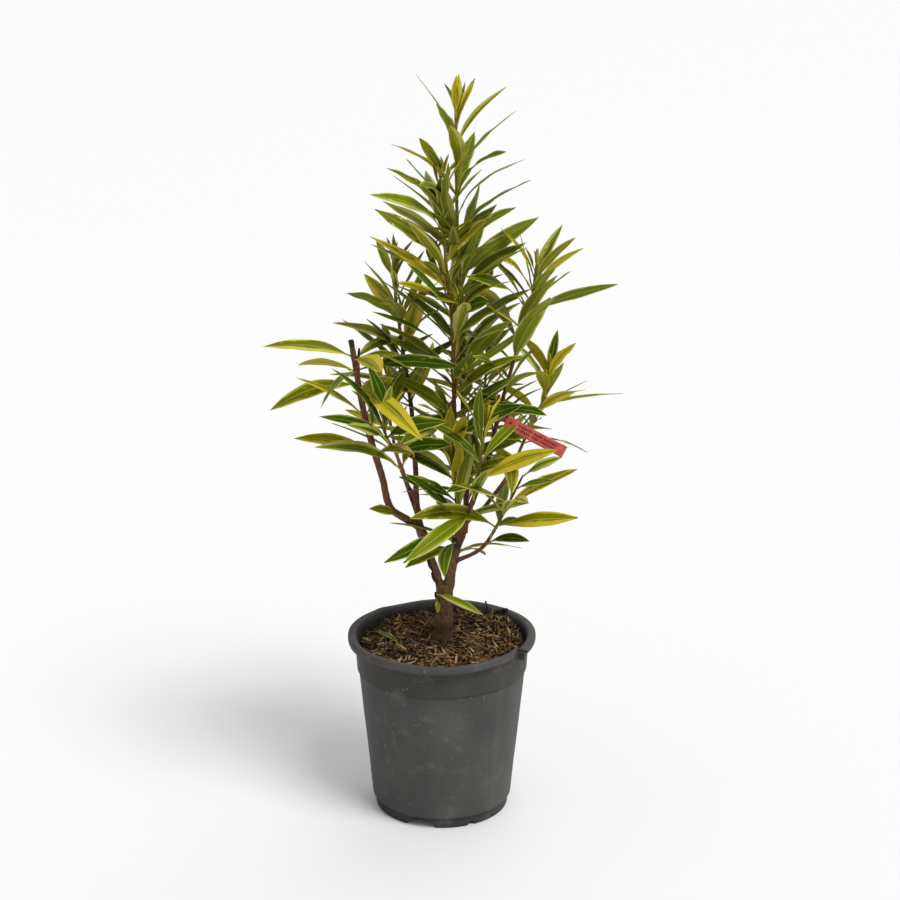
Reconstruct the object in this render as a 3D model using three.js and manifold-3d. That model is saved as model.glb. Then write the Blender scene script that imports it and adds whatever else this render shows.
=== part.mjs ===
// A young variegated oleander in its round nursery pot: pot, compost, trunk, limbs, stems, masses of foliage, plant label.
// Millimetres, +Z up. The origin is the centre of the pot's flat underside.
import * as THREE from 'three'
import { mergeVertices } from 'three/addons/utils/BufferGeometryUtils.js'
import Module from 'manifold-3d'

const wasm = await Module()
wasm.setup()

// ---------------------------------------------------------------- driving dimensions

const gap = 0.35 // clear space between touching pieces
const leafGap = 1.6 // the same round a mass of foliage
const finest = 0.5 // details smaller than this are smoothed out of a mass
const crumb = 0.06 // slivers smaller than this are smoothed out of a cut

const pot = {
  height: 195,
  rimRadius: 100,
  rimHeight: 8,
  wall: 2.2,
  collarRadius: 92, // just under the rim
  collarBottom: 157,
  collarStep: 1,
  shoulderRadius: 89, // body just under the collar
  bodyRadius: 75, // body just above the foot
  footRadius: 71.6,
  footHeight: 11.5,
  footWall: 3,
  channelHeight: 10, // raised ring between the centre disc and the foot
  discRadius: 32,
  floorThickness: 2.5,
  segments: 30,
}

// Drain arches in the foot: the heading each one faces, its width and its height.
const notches = [
  { heading: 10, width: 23, height: 9.6 }, { heading: 64, width: 23, height: 9.6 },
  { heading: 120, width: 23, height: 9.6 }, { heading: 172, width: 23, height: 9.6 },
  { heading: 254, width: 26, height: 10.4 }, { heading: 296, width: 8, height: 5 },
]
const crack = { heading: -31, width: 2.6, depth: 13 } // split in the rim

const compost = { level: 183.6, tilt: 3, flatRadius: 16 } // surface rises to the right by the tilt

const trunk = { foot: 184, fork: 246, flareRadius: 11.5, radius: 9.2, forkRadius: 8.8 }

const label = { length: 69, width: 12.5, thickness: 0.8, x: 96, y: -24, z: 418, slope: -29 }

const spray = { halfWidth: 8.5, halfDepth: 5, widest: 0.45 } // one leaf's share of a mass
const core = { radius: 7.5, sides: 5 }
const limbSides = 6

const bark = { fork: 0x5d4a3a, wood: 0x6a5038, young: 0x7a4a34 }

// Limbs and stems: the points that each route passes through, and its radius at foot and tip.
const limbs = {
  left_limb: { route: [[0.4, 0, 240], [-5.8, 0, 264], [-13.3, 1, 282], [-24, 8, 313]], radii: [4.3, 3.9] },
  right_limb: { route: [[7.6, 0, 240], [11, -2, 270], [15.5, -4, 293], [16.3, -5, 302]], radii: [5, 4.6] },
  leader_stem: {
    route: [[13, 0, 278], [23.7, 6, 306], [25.8, 12, 332], [22.5, 22, 443], [17.1, 18, 601], [14.5, 12, 735]],
    radii: [3, 1.5],
  },
  centre_stem: {
    route: [[15, -4, 288], [17, -12, 330], [14.1, -15, 389], [12.7, -15, 481], [5, -10, 594], [0, -6, 662]],
    radii: [2.8, 1.5],
  },
  far_left_stem: {
    route: [[-22, 7, 308], [-36, 5, 319], [-50, 0, 330], [-61.3, -10, 371], [-76.7, -20, 433], [-90.7, -20, 515]],
    radii: [3.8, 2.8],
  },
  inner_left_stem: { route: [[-22, 7, 308], [-27.4, 18, 375], [-31.7, 26, 438]], radii: [3.2, 2.4] },
  front_left_stem: { route: [[-25.5, 12, 337], [-34, -10, 360], [-41, -29, 388]], radii: [2.2, 1.8] },
  front_right_stem: { route: [[16, -5, 296], [25, -18, 327], [34, -32, 357]], radii: [2.2, 1.7] },
  right_stem: { route: [[24.6, 8, 314], [35, 5, 345], [47, 10, 375], [51.5, 11.5, 395]], radii: [2.9, 2.5] },
  low_right_stem: { route: [[12, -3, 274], [30, -8, 283], [38, -10, 289], [55.7, -20, 317]], radii: [2.1, 1.7] },
  far_right_stem: { route: [[26, 8, 317], [43.5, 25, 323], [54.5, 35, 335], [73.2, 52, 357], [86, 63, 383]], radii: [2.2, 1.7] },
  back_left_stem: { route: [[-19, 5, 301], [-35, 40, 340], [-48, 64, 372]], radii: [2.3, 1.8] },
  back_right_stem: { route: [[25, 12, 331], [31, 44, 362], [38, 70, 392]], radii: [2.3, 1.8] },
}

// Each shoot carries its masses from the bottom up. The route continues the stem through the foliage.
const shoots = {
  leader: [[25.8, 12, 332], [24.7, 18, 368], [22.5, 22, 443], [21.4, 22, 507], [17.1, 18, 601], [14.5, 12, 745]],
  centre: [[15, -4, 288], [17, -12, 330], [14.1, -15, 389], [12.7, -15, 481], [13, -15, 535], [5, -10, 594], [0, -6, 675]],
  inner_left: [[-31.7, 26, 438], [-40.2, 32, 498], [-47.6, 36, 557], [-49.5, 38, 586]],
  far_left: [[-54.6, -5, 345], [-61.3, -10, 371], [-76.7, -20, 433], [-90.7, -20, 515]],
  front_left: [[-41, -29, 388], [-47, -40, 407], [-56, -50, 429], [-55, -55, 452]],
  front_right: [[34, -32, 357], [38.4, -45, 389], [43, -52, 425], [46, -55, 445]],
  right: [[51.5, 11.5, 395], [60, 14, 433], [73.6, 16, 484], [92.8, 20, 554], [97, 20, 585]],
  low_right: [[55.7, -20, 317], [66, -26, 340], [83, -40, 381], [90, -45, 404]],
  far_right: [[86, 63, 383], [101, 75, 415], [112.6, 80, 436], [114, 80, 462]],
  back_left: [[-48, 64, 372], [-56, 82, 410], [-58, 90, 455]],
  back_right: [[38, 70, 392], [46, 86, 435], [48, 92, 485]],
  stub: [[13, -3, 282], [16.3, -5, 302]],
  trunk_shoot: [[3.2, 0, 226], [3.6, 0, 245]],
}

// Masses: whorls of three sprays from low to high on the shoot, each whorl turned by whorlTurn from the last.
// rise and reach run from the lowest whorl to the highest. Own sprays are [height, heading, rise, reach],
// and stand in for any whorl spray near them. Angles in degrees, heading 0 is +X and 90 is +Y.
// coreRadius is given where the mass sits round a thick limb.
const whorlTurn = 60
const masses = {
  leader_tip: {
    shoot: 'leader', low: 704, high: 740, step: 30, turn: 20, rise: [38, 66], reach: [74, 40],
    own: [[718, 125, 42, 85], [712, -138, 38, 92], [730, -58, 38, 68], [738, 80, 62, 42]],
  },
  leader_upper: {
    shoot: 'leader', low: 642, high: 690, step: 24, turn: 15, rise: [26, 40], reach: [84, 74],
    own: [[673, -90, 60, 78], [677, 69, 34, 75], [677, 130, 32, 100], [658, -43, 22, 105], [647, 57, 22, 100]],
  },
  leader_middle: {
    shoot: 'leader', low: 556, high: 628, step: 26, turn: 75, rise: [28, 30], reach: [92, 84],
    own: [[620, -61, 39, 80], [622, -135, 49, 98], [578, -35, 41, 115], [581, 78, 18, 98], [560, -63, 40, 98]],
  },
  leader_lower: {
    shoot: 'leader', low: 452, high: 540, step: 34, turn: 30, rise: [22, 26], reach: [84, 90],
    own: [[520, -31, 39, 115]],
  },
  leader_foot: {
    shoot: 'leader', low: 362, high: 420, step: 58, turn: 80, rise: [18, 22], reach: [72, 78], own: [],
  },
  centre_tip: {
    shoot: 'centre', low: 612, high: 668, step: 28, turn: 100, rise: [26, 58], reach: [82, 46],
    own: [[648, -132, 35, 95], [645, 130, 19, 108], [629, 124, 15, 95], [614, -139, 33, 98]],
  },
  centre_upper: {
    shoot: 'centre', low: 540, high: 596, step: 28, turn: 60, rise: [24, 30], reach: [84, 84],
    own: [[588, -127, 37, 95], [572, 120, 22, 98], [586, 134, 9, 108], [542, -100, 46, 78]],
  },
  centre_middle: {
    shoot: 'centre', low: 446, high: 512, step: 60, turn: 35, rise: [22, 26], reach: [78, 82],
    own: [[483, -162, 32, 128]],
  },
  centre_foot: {
    shoot: 'centre', low: 308, high: 398, step: 84, turn: 10, rise: [4, 20], reach: [74, 80],
    own: [[355, -146, 19, 108], [311, -134, 12, 105], [333, -118, -14, 104], [379, -116, 44, 96], [338, -98, 34, 86]],
  },
  inner_left_tip: {
    shoot: 'inner_left', low: 538, high: 578, step: 22, turn: 90, rise: [20, 62], reach: [76, 50],
    own: [[562, 86, 53, 75], [560, 145, 6, 98], [552, 101, 22, 78]],
  },
  inner_left_middle: {
    shoot: 'inner_left', low: 446, high: 522, step: 36, turn: 70, rise: [20, 30], reach: [86, 84],
    own: [[522, -129, 49, 94], [468, -167, 42, 112]],
  },
  far_left_top: {
    shoot: 'far_left', low: 470, high: 500, step: 28, turn: 90, rise: [10, 14], reach: [70, 62],
    own: [[499, 168, 2, 100], [496, -126, -26, 98], [474, -160, -2, 112]],
  },
  far_left_middle: {
    shoot: 'far_left', low: 380, high: 440, step: 56, turn: 40, rise: [12, 24], reach: [62, 74],
    own: [[438, 134, 27, 96], [429, 125, 2, 82]],
  },
  front_left: {
    shoot: 'front_left', low: 392, high: 444, step: 50, turn: 80, rise: [16, 56], reach: [84, 62],
    own: [[394, 150, 10, 82], [392, -150, 26, 84], [430, -30, 34, 92], [426, 10, 2, 74], [430, -106, 62, 84], [404, -40, 12, 66]],
  },
  front_right: {
    shoot: 'front_right', low: 364, high: 432, step: 24, turn: 70, rise: [18, 58], reach: [78, 60],
    own: [[372, -30, 30, 82], [414, -94, 44, 78]],
  },
  right_tip: {
    shoot: 'right', low: 534, high: 576, step: 21, turn: 110, rise: [24, 54], reach: [76, 56],
    own: [[572, 112, 36, 70], [568, 30, 22, 108], [543, 45, 16, 88], [536, -65, 35, 84]],
  },
  right_middle: {
    shoot: 'right', low: 452, high: 518, step: 25, turn: 60, rise: [18, 28], reach: [82, 82],
    own: [[493, 33, 13, 115], [488, -61, 44, 108], [462, -104, 39, 96]],
  },
  right_foot: {
    shoot: 'right', low: 402, high: 438, step: 34, turn: 50, rise: [10, 16], reach: [70, 74], own: [[429, -40, 14, 70]],
  },
  far_right: {
    shoot: 'far_right', low: 388, high: 452, step: 24, turn: 80, rise: [6, 46], reach: [84, 60],
    own: [[440, 65, 16, 88], [424, 2, 8, 92], [392, 10, 2, 88], [400, -62, 24, 84]],
  },
  low_right: {
    shoot: 'low_right', low: 322, high: 396, step: 36, turn: 40, rise: [10, 40], reach: [74, 60],
    own: [[323, 8, 22, 94], [377, 10, 4, 62], [384, -30, 18, 62]],
  },
  back_left: {
    shoot: 'back_left', low: 378, high: 446, step: 23, turn: 30, rise: [8, 48], reach: [86, 62], own: [],
  },
  back_right: {
    shoot: 'back_right', low: 398, high: 476, step: 26, turn: 10, rise: [8, 48], reach: [86, 62], own: [],
  },
  stub_leaves: {
    shoot: 'stub', low: 288, high: 299, step: 30, turn: 50, rise: [-6, 14], reach: [58, 60],
    own: [[290, -72, -19, 75], [299, -100, -12, 68], [287, -50, 32, 84]],
  },
  trunk_leaves: {
    shoot: 'trunk_shoot', low: 240, high: 240, step: 20, turn: 58, rise: [4, 4], reach: [44, 44], coreRadius: 12,
    own: [[239, -62, 1, 72], [241, -140, 10, 44]],
  },
}

// ---------------------------------------------------------------- vectors and solids

const radians = THREE.MathUtils.degToRad
const mix = THREE.MathUtils.lerp
const toVector = ([x, y, z]) => new THREE.Vector3(x, y, z)

function toSolid(geometry) {
  const bare = geometry.clone()
  bare.deleteAttribute('normal')
  bare.deleteAttribute('uv')
  const merged = mergeVertices(bare, 1e-4)
  return new wasm.Manifold(new wasm.Mesh({
    numProp: 3,
    vertProperties: Float32Array.from(merged.attributes.position.array),
    triVerts: Uint32Array.from(merged.index.array),
  }))
}

function toGeometry(solid) {
  const mesh = solid.getMesh()
  const geometry = new THREE.BufferGeometry()
  geometry.setAttribute('position', new THREE.BufferAttribute(mesh.vertProperties, 3))
  geometry.setIndex(new THREE.BufferAttribute(mesh.triVerts, 1))
  geometry.computeVertexNormals()
  return geometry
}

// The largest body of a solid, without the crumbs that a cut leaves.
function largest(solid) {
  return solid.decompose().sort((a, b) => b.volume() - a.volume())[0]
}

function closedGeometry(points, triangles) {
  const geometry = new THREE.BufferGeometry()
  geometry.setAttribute('position', new THREE.Float32BufferAttribute(points.flatMap((p) => [p.x, p.y, p.z]), 3))
  geometry.setIndex(triangles)
  return geometry
}

// ---------------------------------------------------------------- limbs

// A tube of rings along the route, tapering from foot to tip, with both ends drawn out by longer.
// The first ring lies flat where flatFoot is set.
function limbGeometry(route, radiusAt, options = {}) {
  const { sides = limbSides, rings = route.length + 1, flatFoot = false, longer = 0 } = options
  const curve = new THREE.CatmullRomCurve3(route.map(toVector), false, 'centripetal')
  const points = []
  const side = new THREE.Vector3(1, 0, 0)
  for (let i = 0; i <= rings; i++) {
    const t = i / rings
    const centre = curve.getPointAt(t)
    const along = i === 0 && flatFoot ? new THREE.Vector3(0, 0, 1) : curve.getTangentAt(t)
    if (i === 0 || i === rings) centre.addScaledVector(along, i === 0 ? -longer : longer)
    side.addScaledVector(along, -side.dot(along)).normalize()
    const across = new THREE.Vector3().crossVectors(along, side)
    for (let j = 0; j < sides; j++) {
      const angle = (2 * Math.PI * j) / sides
      const offset = side.clone().multiplyScalar(Math.cos(angle)).addScaledVector(across, Math.sin(angle))
      points.push(centre.clone().addScaledVector(offset, radiusAt(t)))
    }
  }
  const triangles = []
  for (let i = 0; i < rings; i++) {
    for (let j = 0; j < sides; j++) {
      const a = i * sides + j
      const b = i * sides + ((j + 1) % sides)
      triangles.push(a, b, b + sides, a, b + sides, a + sides)
    }
  }
  for (let j = 1; j < sides - 1; j++) {
    const top = rings * sides
    triangles.push(0, j + 1, j, top, top + j, top + j + 1)
  }
  return closedGeometry(points, triangles)
}

function limbSolid({ route, radii }, grow = 0) {
  return toSolid(limbGeometry(route, (t) => mix(radii[0], radii[1], t) + grow, { longer: grow }))
}

// The trunk swells at its foot and keeps nearly one girth up to the flat at its fork.
function trunkSolid(grow = 0) {
  const route = [[0.5, 0, trunk.foot - grow], [1.6, 0, 198], [3, 0, 222], [3.6, 0, trunk.fork + grow]]
  const girth = new THREE.SplineCurve([
    new THREE.Vector2(0, trunk.flareRadius), new THREE.Vector2(0.25, trunk.radius + 0.6),
    new THREE.Vector2(0.6, trunk.radius), new THREE.Vector2(1, trunk.forkRadius),
  ])
  const shape = limbGeometry(route, (t) => girth.getPoint(t).y + grow, { sides: 10, rings: 5, flatFoot: true })
  return toSolid(shape)
}

// ---------------------------------------------------------------- foliage

// The point of a shoot at a height. Past either end the shoot's last stretch carries on.
function pointOnShoot(route, height) {
  const above = route.findIndex((p) => p[2] >= height)
  const i = above < 0 ? route.length - 1 : Math.max(1, above)
  const [a, b] = [route[i - 1], route[i]]
  return toVector(a).lerp(toVector(b), (height - a[2]) / (b[2] - a[2]))
}

// One spray: from a point at the shoot it widens to a ring on its arching midline, then narrows to its tip.
function sprayGeometry(foot, [, heading, rise, reach], grow) {
  const flat = new THREE.Vector3(Math.cos(radians(heading)), Math.sin(radians(heading)), 0)
  const towards = (angle) => flat.clone().multiplyScalar(Math.cos(angle)).setComponent(2, Math.sin(angle))
  const along = towards(radians(rise))
  const up = towards(radians(rise + 90))
  const side = new THREE.Vector3().crossVectors(along, up)
  const arch = 0.05 * reach
  const centre = foot.clone().addScaledVector(along, spray.widest * reach).addScaledVector(up, arch)
  const tip = foot.clone().addScaledVector(along, reach + 6 * grow)
  const ring = [
    centre.clone().addScaledVector(side, spray.halfWidth + grow).addScaledVector(up, spray.halfDepth + grow),
    centre.clone().addScaledVector(side, -spray.halfWidth - grow).addScaledVector(up, spray.halfDepth + grow),
    centre.clone().addScaledVector(up, -spray.halfDepth - grow),
  ]
  const triangles = []
  for (let j = 0; j < ring.length; j++) {
    const next = (j + 1) % ring.length
    triangles.push(0, 2 + j, 2 + next, 1, 2 + next, 2 + j)
  }
  return closedGeometry([foot, tip, ...ring], triangles)
}

const turnBetween = (a, b) => Math.abs(((a - b + 540) % 360) - 180)

// Every spray of a mass: its own ones, and the whorl sprays that none of them stands in for.
function spraysOf({ low, high, step, turn, rise, reach, own }) {
  const count = Math.floor((high - low) / step) + 1
  const sprays = [...own]
  for (let k = 0; k < count; k++) {
    const t = count > 1 ? k / (count - 1) : 0
    const height = low + k * step
    for (let j = 0; j < 3; j++) {
      const heading = turn + k * whorlTurn + j * 120
      const taken = own.some((o) => Math.abs(o[0] - height) < 0.8 * step && turnBetween(o[1], heading) < 50)
      if (!taken) sprays.push([height, heading, mix(rise[0], rise[1], t), mix(reach[0], reach[1], t)])
    }
  }
  return sprays
}

// A mass: the sprays joined to a core round the shoot.
function massSolid(mass, grow = 0) {
  const route = shoots[mass.shoot]
  const foot = pointOnShoot(route, mass.low - 5 - grow)
  const head = pointOnShoot(route, mass.high + 4 + grow)
  const middle = pointOnShoot(route, (mass.low + mass.high) / 2)
  const coreRoute = [foot, middle, head].map((p) => p.toArray())
  const swell = (t) => (mass.coreRadius ?? core.radius) * (1 - 0.35 * t) + grow
  const parts = [toSolid(limbGeometry(coreRoute, swell, { sides: core.sides, rings: 2 }))]
  for (const one of spraysOf(mass)) {
    parts.push(toSolid(sprayGeometry(pointOnShoot(route, one[0]), one, grow)))
  }
  return wasm.Manifold.union(parts)
}

// ---------------------------------------------------------------- pot and compost

function potProfile() {
  const p = pot
  const ringInner = p.footRadius - p.footWall
  const outer = [
    [0, 0], [p.discRadius, 0], [p.discRadius + 4, p.channelHeight], [ringInner - 2, p.channelHeight],
    [ringInner, 0], [p.footRadius, 0], [p.footRadius + 0.4, p.footHeight], [p.bodyRadius, p.footHeight + 1],
    [p.shoulderRadius, p.collarBottom], [p.shoulderRadius + p.collarStep, p.collarBottom + 1],
    [p.collarRadius, p.height - p.rimHeight - 1], [p.rimRadius - 1.5, p.height - p.rimHeight],
    [p.rimRadius, p.height - 0.75 * p.rimHeight], [p.rimRadius, p.height - 2], [p.rimRadius - 2, p.height],
    [p.rimRadius - 4.6, p.height], [p.collarRadius - p.wall, p.height - 4],
  ]
  const floor = p.channelHeight + p.floorThickness
  const inner = [
    [innerRadius(p.collarBottom), p.collarBottom], [innerRadius(floor + 4), floor + 4], [ringInner - 1, floor],
    [p.discRadius + 6, floor], [p.discRadius + 2, p.floorThickness], [0, p.floorThickness],
  ]
  return [...outer, ...inner].map(([r, z]) => new THREE.Vector2(r, z))
}

// Inside radius of the wall at height z.
function innerRadius(z) {
  const low = pot.footHeight + 1
  if (z <= pot.collarBottom) {
    return mix(pot.bodyRadius, pot.shoulderRadius, (z - low) / (pot.collarBottom - low)) - pot.wall
  }
  const t = (z - pot.collarBottom) / (pot.height - 4 - pot.collarBottom)
  return mix(pot.shoulderRadius, pot.collarRadius, Math.min(1, t)) - pot.wall
}

// A lathe turned about Z instead of Y.
function lathe(profile, segments = pot.segments) {
  return new THREE.LatheGeometry(profile, segments).rotateX(Math.PI / 2)
}

// An arch of the given width and height, pushed through the foot ring at a heading.
function notchCutter({ heading, width, height }) {
  const arch = new THREE.Shape()
  arch.moveTo(-width / 2, -1)
  arch.lineTo(width / 2, -1)
  arch.quadraticCurveTo(width / 2 - 2, height, 0, height)
  arch.quadraticCurveTo(-width / 2 + 2, height, -width / 2, -1)
  const depth = 16
  const cutter = new THREE.ExtrudeGeometry(arch, { depth, bevelEnabled: false, curveSegments: 3 })
  cutter.rotateX(Math.PI / 2).rotateZ(Math.PI / 2)
  cutter.translate(pot.footRadius - depth / 2, 0, 0)
  return toSolid(cutter.rotateZ(radians(heading)))
}

function crackCutter() {
  const wedge = new THREE.Shape()
  wedge.moveTo(0, pot.height - crack.depth)
  wedge.lineTo(crack.width / 2, pot.height + 1)
  wedge.lineTo(-crack.width / 2, pot.height + 1)
  const depth = 24
  const cutter = new THREE.ExtrudeGeometry(wedge, { depth, bevelEnabled: false })
  cutter.rotateX(Math.PI / 2).rotateZ(Math.PI / 2)
  cutter.translate(pot.rimRadius - depth / 2, 0, 0)
  return toSolid(cutter.rotateZ(radians(crack.heading)))
}

function potSolid() {
  let solid = toSolid(lathe(potProfile()))
  for (const notch of notches) solid = solid.subtract(notchCutter(notch))
  return solid.subtract(crackCutter())
}

function compostGeometry() {
  const floor = pot.channelHeight + pot.floorThickness + gap
  const low = pot.floorThickness + gap
  const top = compost.level
  const ringInner = pot.footRadius - pot.footWall
  const profile = [
    [0, low], [pot.discRadius + 1.3, low], [pot.discRadius + 5.6, floor], [ringInner - 1.6, floor],
    [innerRadius(floor + 4) - gap, floor + 4.4], [innerRadius(pot.collarBottom) - gap, pot.collarBottom],
    [innerRadius(top) - 0.6, top - 2], [innerRadius(top) - 12, top], [compost.flatRadius, top], [0, top],
  ].map(([r, z]) => new THREE.Vector2(r, z))
  const geometry = lathe(profile, 24)
  const place = geometry.attributes.position
  for (let i = 0; i < place.count; i++) {
    const radius = Math.hypot(place.getX(i), place.getY(i))
    if (place.getZ(i) > pot.collarBottom + 1 && radius > compost.flatRadius + 1) {
      place.setZ(i, place.getZ(i) + (compost.tilt * place.getX(i)) / pot.rimRadius)
    }
  }
  return geometry
}

// ---------------------------------------------------------------- plant label

function labelSolid(grow = 0) {
  const strip = new THREE.BoxGeometry(label.length + 2 * grow, label.thickness + 2 * grow, label.width + 2 * grow)
  strip.rotateY(radians(-label.slope)).translate(label.x, label.y, label.z)
  return toSolid(strip)
}

// ---------------------------------------------------------------- assembly

const group = new THREE.Group()

function addPart(name, geometry, color, roughness) {
  const mesh = new THREE.Mesh(geometry, new THREE.MeshStandardMaterial({ color, roughness, metalness: 0 }))
  mesh.name = name
  group.add(mesh)
}

addPart('pot', toGeometry(potSolid()), 0x4b4b4a, 0.6)
addPart('compost', compostGeometry(), 0x5a4630, 1)

// Everything placed so far, grown by the gap, which each later piece is cut clear of.
let taken = trunkSolid(gap)
addPart('trunk', toGeometry(trunkSolid()), bark.fork, 0.9)

for (const [name, limb] of Object.entries(limbs)) {
  const solid = largest(limbSolid(limb).subtract(taken).simplify(crumb))
  taken = taken.add(limbSolid(limb, gap))
  addPart(name, toGeometry(solid), name.includes('limb') ? bark.wood : bark.young, 0.85)
}

addPart('plant_label', toGeometry(labelSolid()), 0xc2503f, 0.5)
taken = taken.add(labelSolid(gap))

let tone = 0
for (const [name, mass] of Object.entries(masses)) {
  const solid = largest(massSolid(mass).simplify(finest).subtract(taken).simplify(crumb))
  taken = taken.add(massSolid(mass, leafGap))
  const green = new THREE.Color().setHSL(0.2 + 0.02 * (tone++ % 4), 0.5, 0.34)
  addPart(`${name}_foliage`, toGeometry(solid), green, 0.7)
}

export default group
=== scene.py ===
import bpy
import math
import numpy as np
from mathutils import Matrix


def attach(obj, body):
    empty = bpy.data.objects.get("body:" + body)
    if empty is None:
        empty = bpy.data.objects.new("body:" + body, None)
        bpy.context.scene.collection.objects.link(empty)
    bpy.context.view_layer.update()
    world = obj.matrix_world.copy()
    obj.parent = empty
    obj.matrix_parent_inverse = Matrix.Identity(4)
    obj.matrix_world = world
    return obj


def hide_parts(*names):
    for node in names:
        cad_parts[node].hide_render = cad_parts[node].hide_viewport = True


# A young variegated oleander in its nursery pot. Dictionaries are in millimetres and degrees:
# heading 0 is +X and 90 is +Y, rise is above level, and addPiece turns millimetres into metres.

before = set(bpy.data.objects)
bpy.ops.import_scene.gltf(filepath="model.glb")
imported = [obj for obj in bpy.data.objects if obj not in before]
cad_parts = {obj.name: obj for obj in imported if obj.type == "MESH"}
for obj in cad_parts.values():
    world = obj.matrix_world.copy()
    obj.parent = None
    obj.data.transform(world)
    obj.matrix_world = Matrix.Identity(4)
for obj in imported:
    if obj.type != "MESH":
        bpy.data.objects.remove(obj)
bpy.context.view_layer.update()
metre = 1000
xAxis = np.array([1.0, 0.0, 0.0])
print("frame loaded with", len(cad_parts), "nodes")


# camera, light and floor

studio = {
    "cameraPlace": (9, -1800, 923),
    "cameraPitch": 16.3,  # looks down by this
    "lens": 72.4,
    "worldLight": 0.46,
    "worldSeen": 1.0,  # how bright the backdrop itself looks
    "floorTone": 0.97,
    "floorSize": 90000,
}
lamps = {  # heading and rise of the light's side, strength, and the spread of its shadows in degrees
    "key": {"heading": -46, "rise": 58, "strength": 1.75, "spread": 26},
    "back": {"heading": 70, "rise": 40, "strength": 0.45, "spread": 60},
}


def makeCamera():
    data = bpy.data.cameras.new("camera")
    data.lens = studio["lens"]
    data.clip_end = 200
    camera = bpy.data.objects.new("camera", data)
    camera.location = [part / metre for part in studio["cameraPlace"]]
    camera.rotation_euler = (math.radians(90 - studio["cameraPitch"]), 0, 0)
    bpy.context.collection.objects.link(camera)
    bpy.context.scene.camera = camera


def makeLamp(name, heading, rise, strength, spread):
    data = bpy.data.lights.new(name, "SUN")
    data.energy = strength
    data.angle = math.radians(spread)
    lamp = bpy.data.objects.new(name, data)
    lamp.rotation_euler = (math.radians(90 - rise), 0, math.radians(90 + heading))
    bpy.context.collection.objects.link(lamp)


def makeStudio():
    makeCamera()
    for name, lamp in lamps.items():
        makeLamp(name, **lamp)
    world = bpy.data.worlds.new("studio")
    world.use_nodes = True
    tree = world.node_tree
    seen = addNode(tree, "ShaderNodeLightPath").outputs["Is Camera Ray"]
    brightness = {"To Min": studio["worldLight"], "To Max": studio["worldSeen"]}
    strength = addNode(tree, "ShaderNodeMapRange", Value=seen, **brightness)
    sky = tree.nodes["Background"].inputs
    sky["Color"].default_value = (1, 1, 1, 1)
    tree.links.new(strength.outputs[0], sky["Strength"])
    bpy.context.scene.world = world
    bpy.context.scene.view_settings.view_transform = "Standard"
    half = studio["floorSize"] / metre / 2
    mesh = bpy.data.meshes.new("floor")
    corners = [(-half, -half, 0), (half, -half, 0), (half, half, 0), (-half, half, 0)]
    mesh.from_pydata(corners, [], [(0, 1, 2, 3)])
    floor = bpy.data.objects.new("floor", mesh)
    mesh.materials.append(newPaint("floorPaint", grey(studio["floorTone"]), 0.9)[0])
    bpy.context.collection.objects.link(floor)


# paints

def tone(red, green, blue):
    # display values from 0 to 255, turned into the linear values that a shader takes
    share = np.array([red, green, blue]) / 255
    linear = np.where(share <= 0.04045, share / 12.92, ((share + 0.055) / 1.055) ** 2.4)
    return (*[float(part) for part in linear], 1.0)


def grey(level):
    return (level, level, level, 1)


def newPaint(name, color, roughness, specular=0.4):
    material = bpy.data.materials.new(name)
    material.use_nodes = True
    shader = material.node_tree.nodes["Principled BSDF"]
    shader.inputs["Base Color"].default_value = color
    shader.inputs["Roughness"].default_value = roughness
    shader.inputs["Specular IOR Level"].default_value = specular
    return material, material.node_tree, shader


def addNode(tree, kind, settings=None, **values):
    # a node of this kind, with its own settings and the values of its sockets; an output given as a value
    # is linked
    node = tree.nodes.new(kind)
    for key, value in (settings or {}).items():
        setattr(node, key, value)
    for key, value in values.items():
        socket = node.inputs[int(key[1:])] if key[0] == "i" and key[1:].isdigit() else node.inputs[key]
        if isinstance(value, bpy.types.NodeSocket):
            tree.links.new(value, socket)
        else:
            socket.default_value = value
    return node


def addRamp(tree, factor, stops):
    # a colour ramp from a list of (position, colour)
    ramp = addNode(tree, "ShaderNodeValToRGB", Fac=factor)
    elements = ramp.color_ramp.elements
    while len(elements) < len(stops):
        elements.new(0.5)
    for element, (position, color) in zip(elements, stops):
        element.position = position
        element.color = color
    return ramp.outputs["Color"]


def addMath(tree, operation, *values):
    sockets = {f"i{k}": value for k, value in enumerate(values)}
    return addNode(tree, "ShaderNodeMath", {"operation": operation}, **sockets).outputs[0]


def addRange(tree, value, low, high):
    # 0 at low and 1 at high
    return addNode(tree, "ShaderNodeMapRange", Value=value, **{"From Min": low, "From Max": high}).outputs[0]


def mixColor(tree, blend, color, over, factor=1.0):
    settings = {"data_type": "RGBA", "blend_type": blend}
    return addNode(tree, "ShaderNodeMix", settings, i0=factor, i6=color, i7=over).outputs[2]


def objectPlace(tree):
    # X, Y and Z of the piece's own coordinates, in metres
    place = addNode(tree, "ShaderNodeTexCoord").outputs["Object"]
    return addNode(tree, "ShaderNodeSeparateXYZ", Vector=place).outputs


def addBump(tree, shader, height, strength, distance):
    bump = addNode(tree, "ShaderNodeBump", Height=height, Strength=strength, Distance=distance / metre)
    tree.links.new(bump.outputs["Normal"], shader.inputs["Normal"])


def objectNoise(tree, scale, stretch=(1, 1, 1), detail=4.0):
    # noise on the piece's own coordinates, with scale in waves per metre
    place = addNode(tree, "ShaderNodeTexCoord").outputs["Object"]
    mapped = addNode(tree, "ShaderNodeMapping", Vector=place, Scale=stretch).outputs["Vector"]
    return addNode(tree, "ShaderNodeTexNoise", Vector=mapped, Scale=scale, Detail=detail).outputs["Fac"]


# meshes

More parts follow.
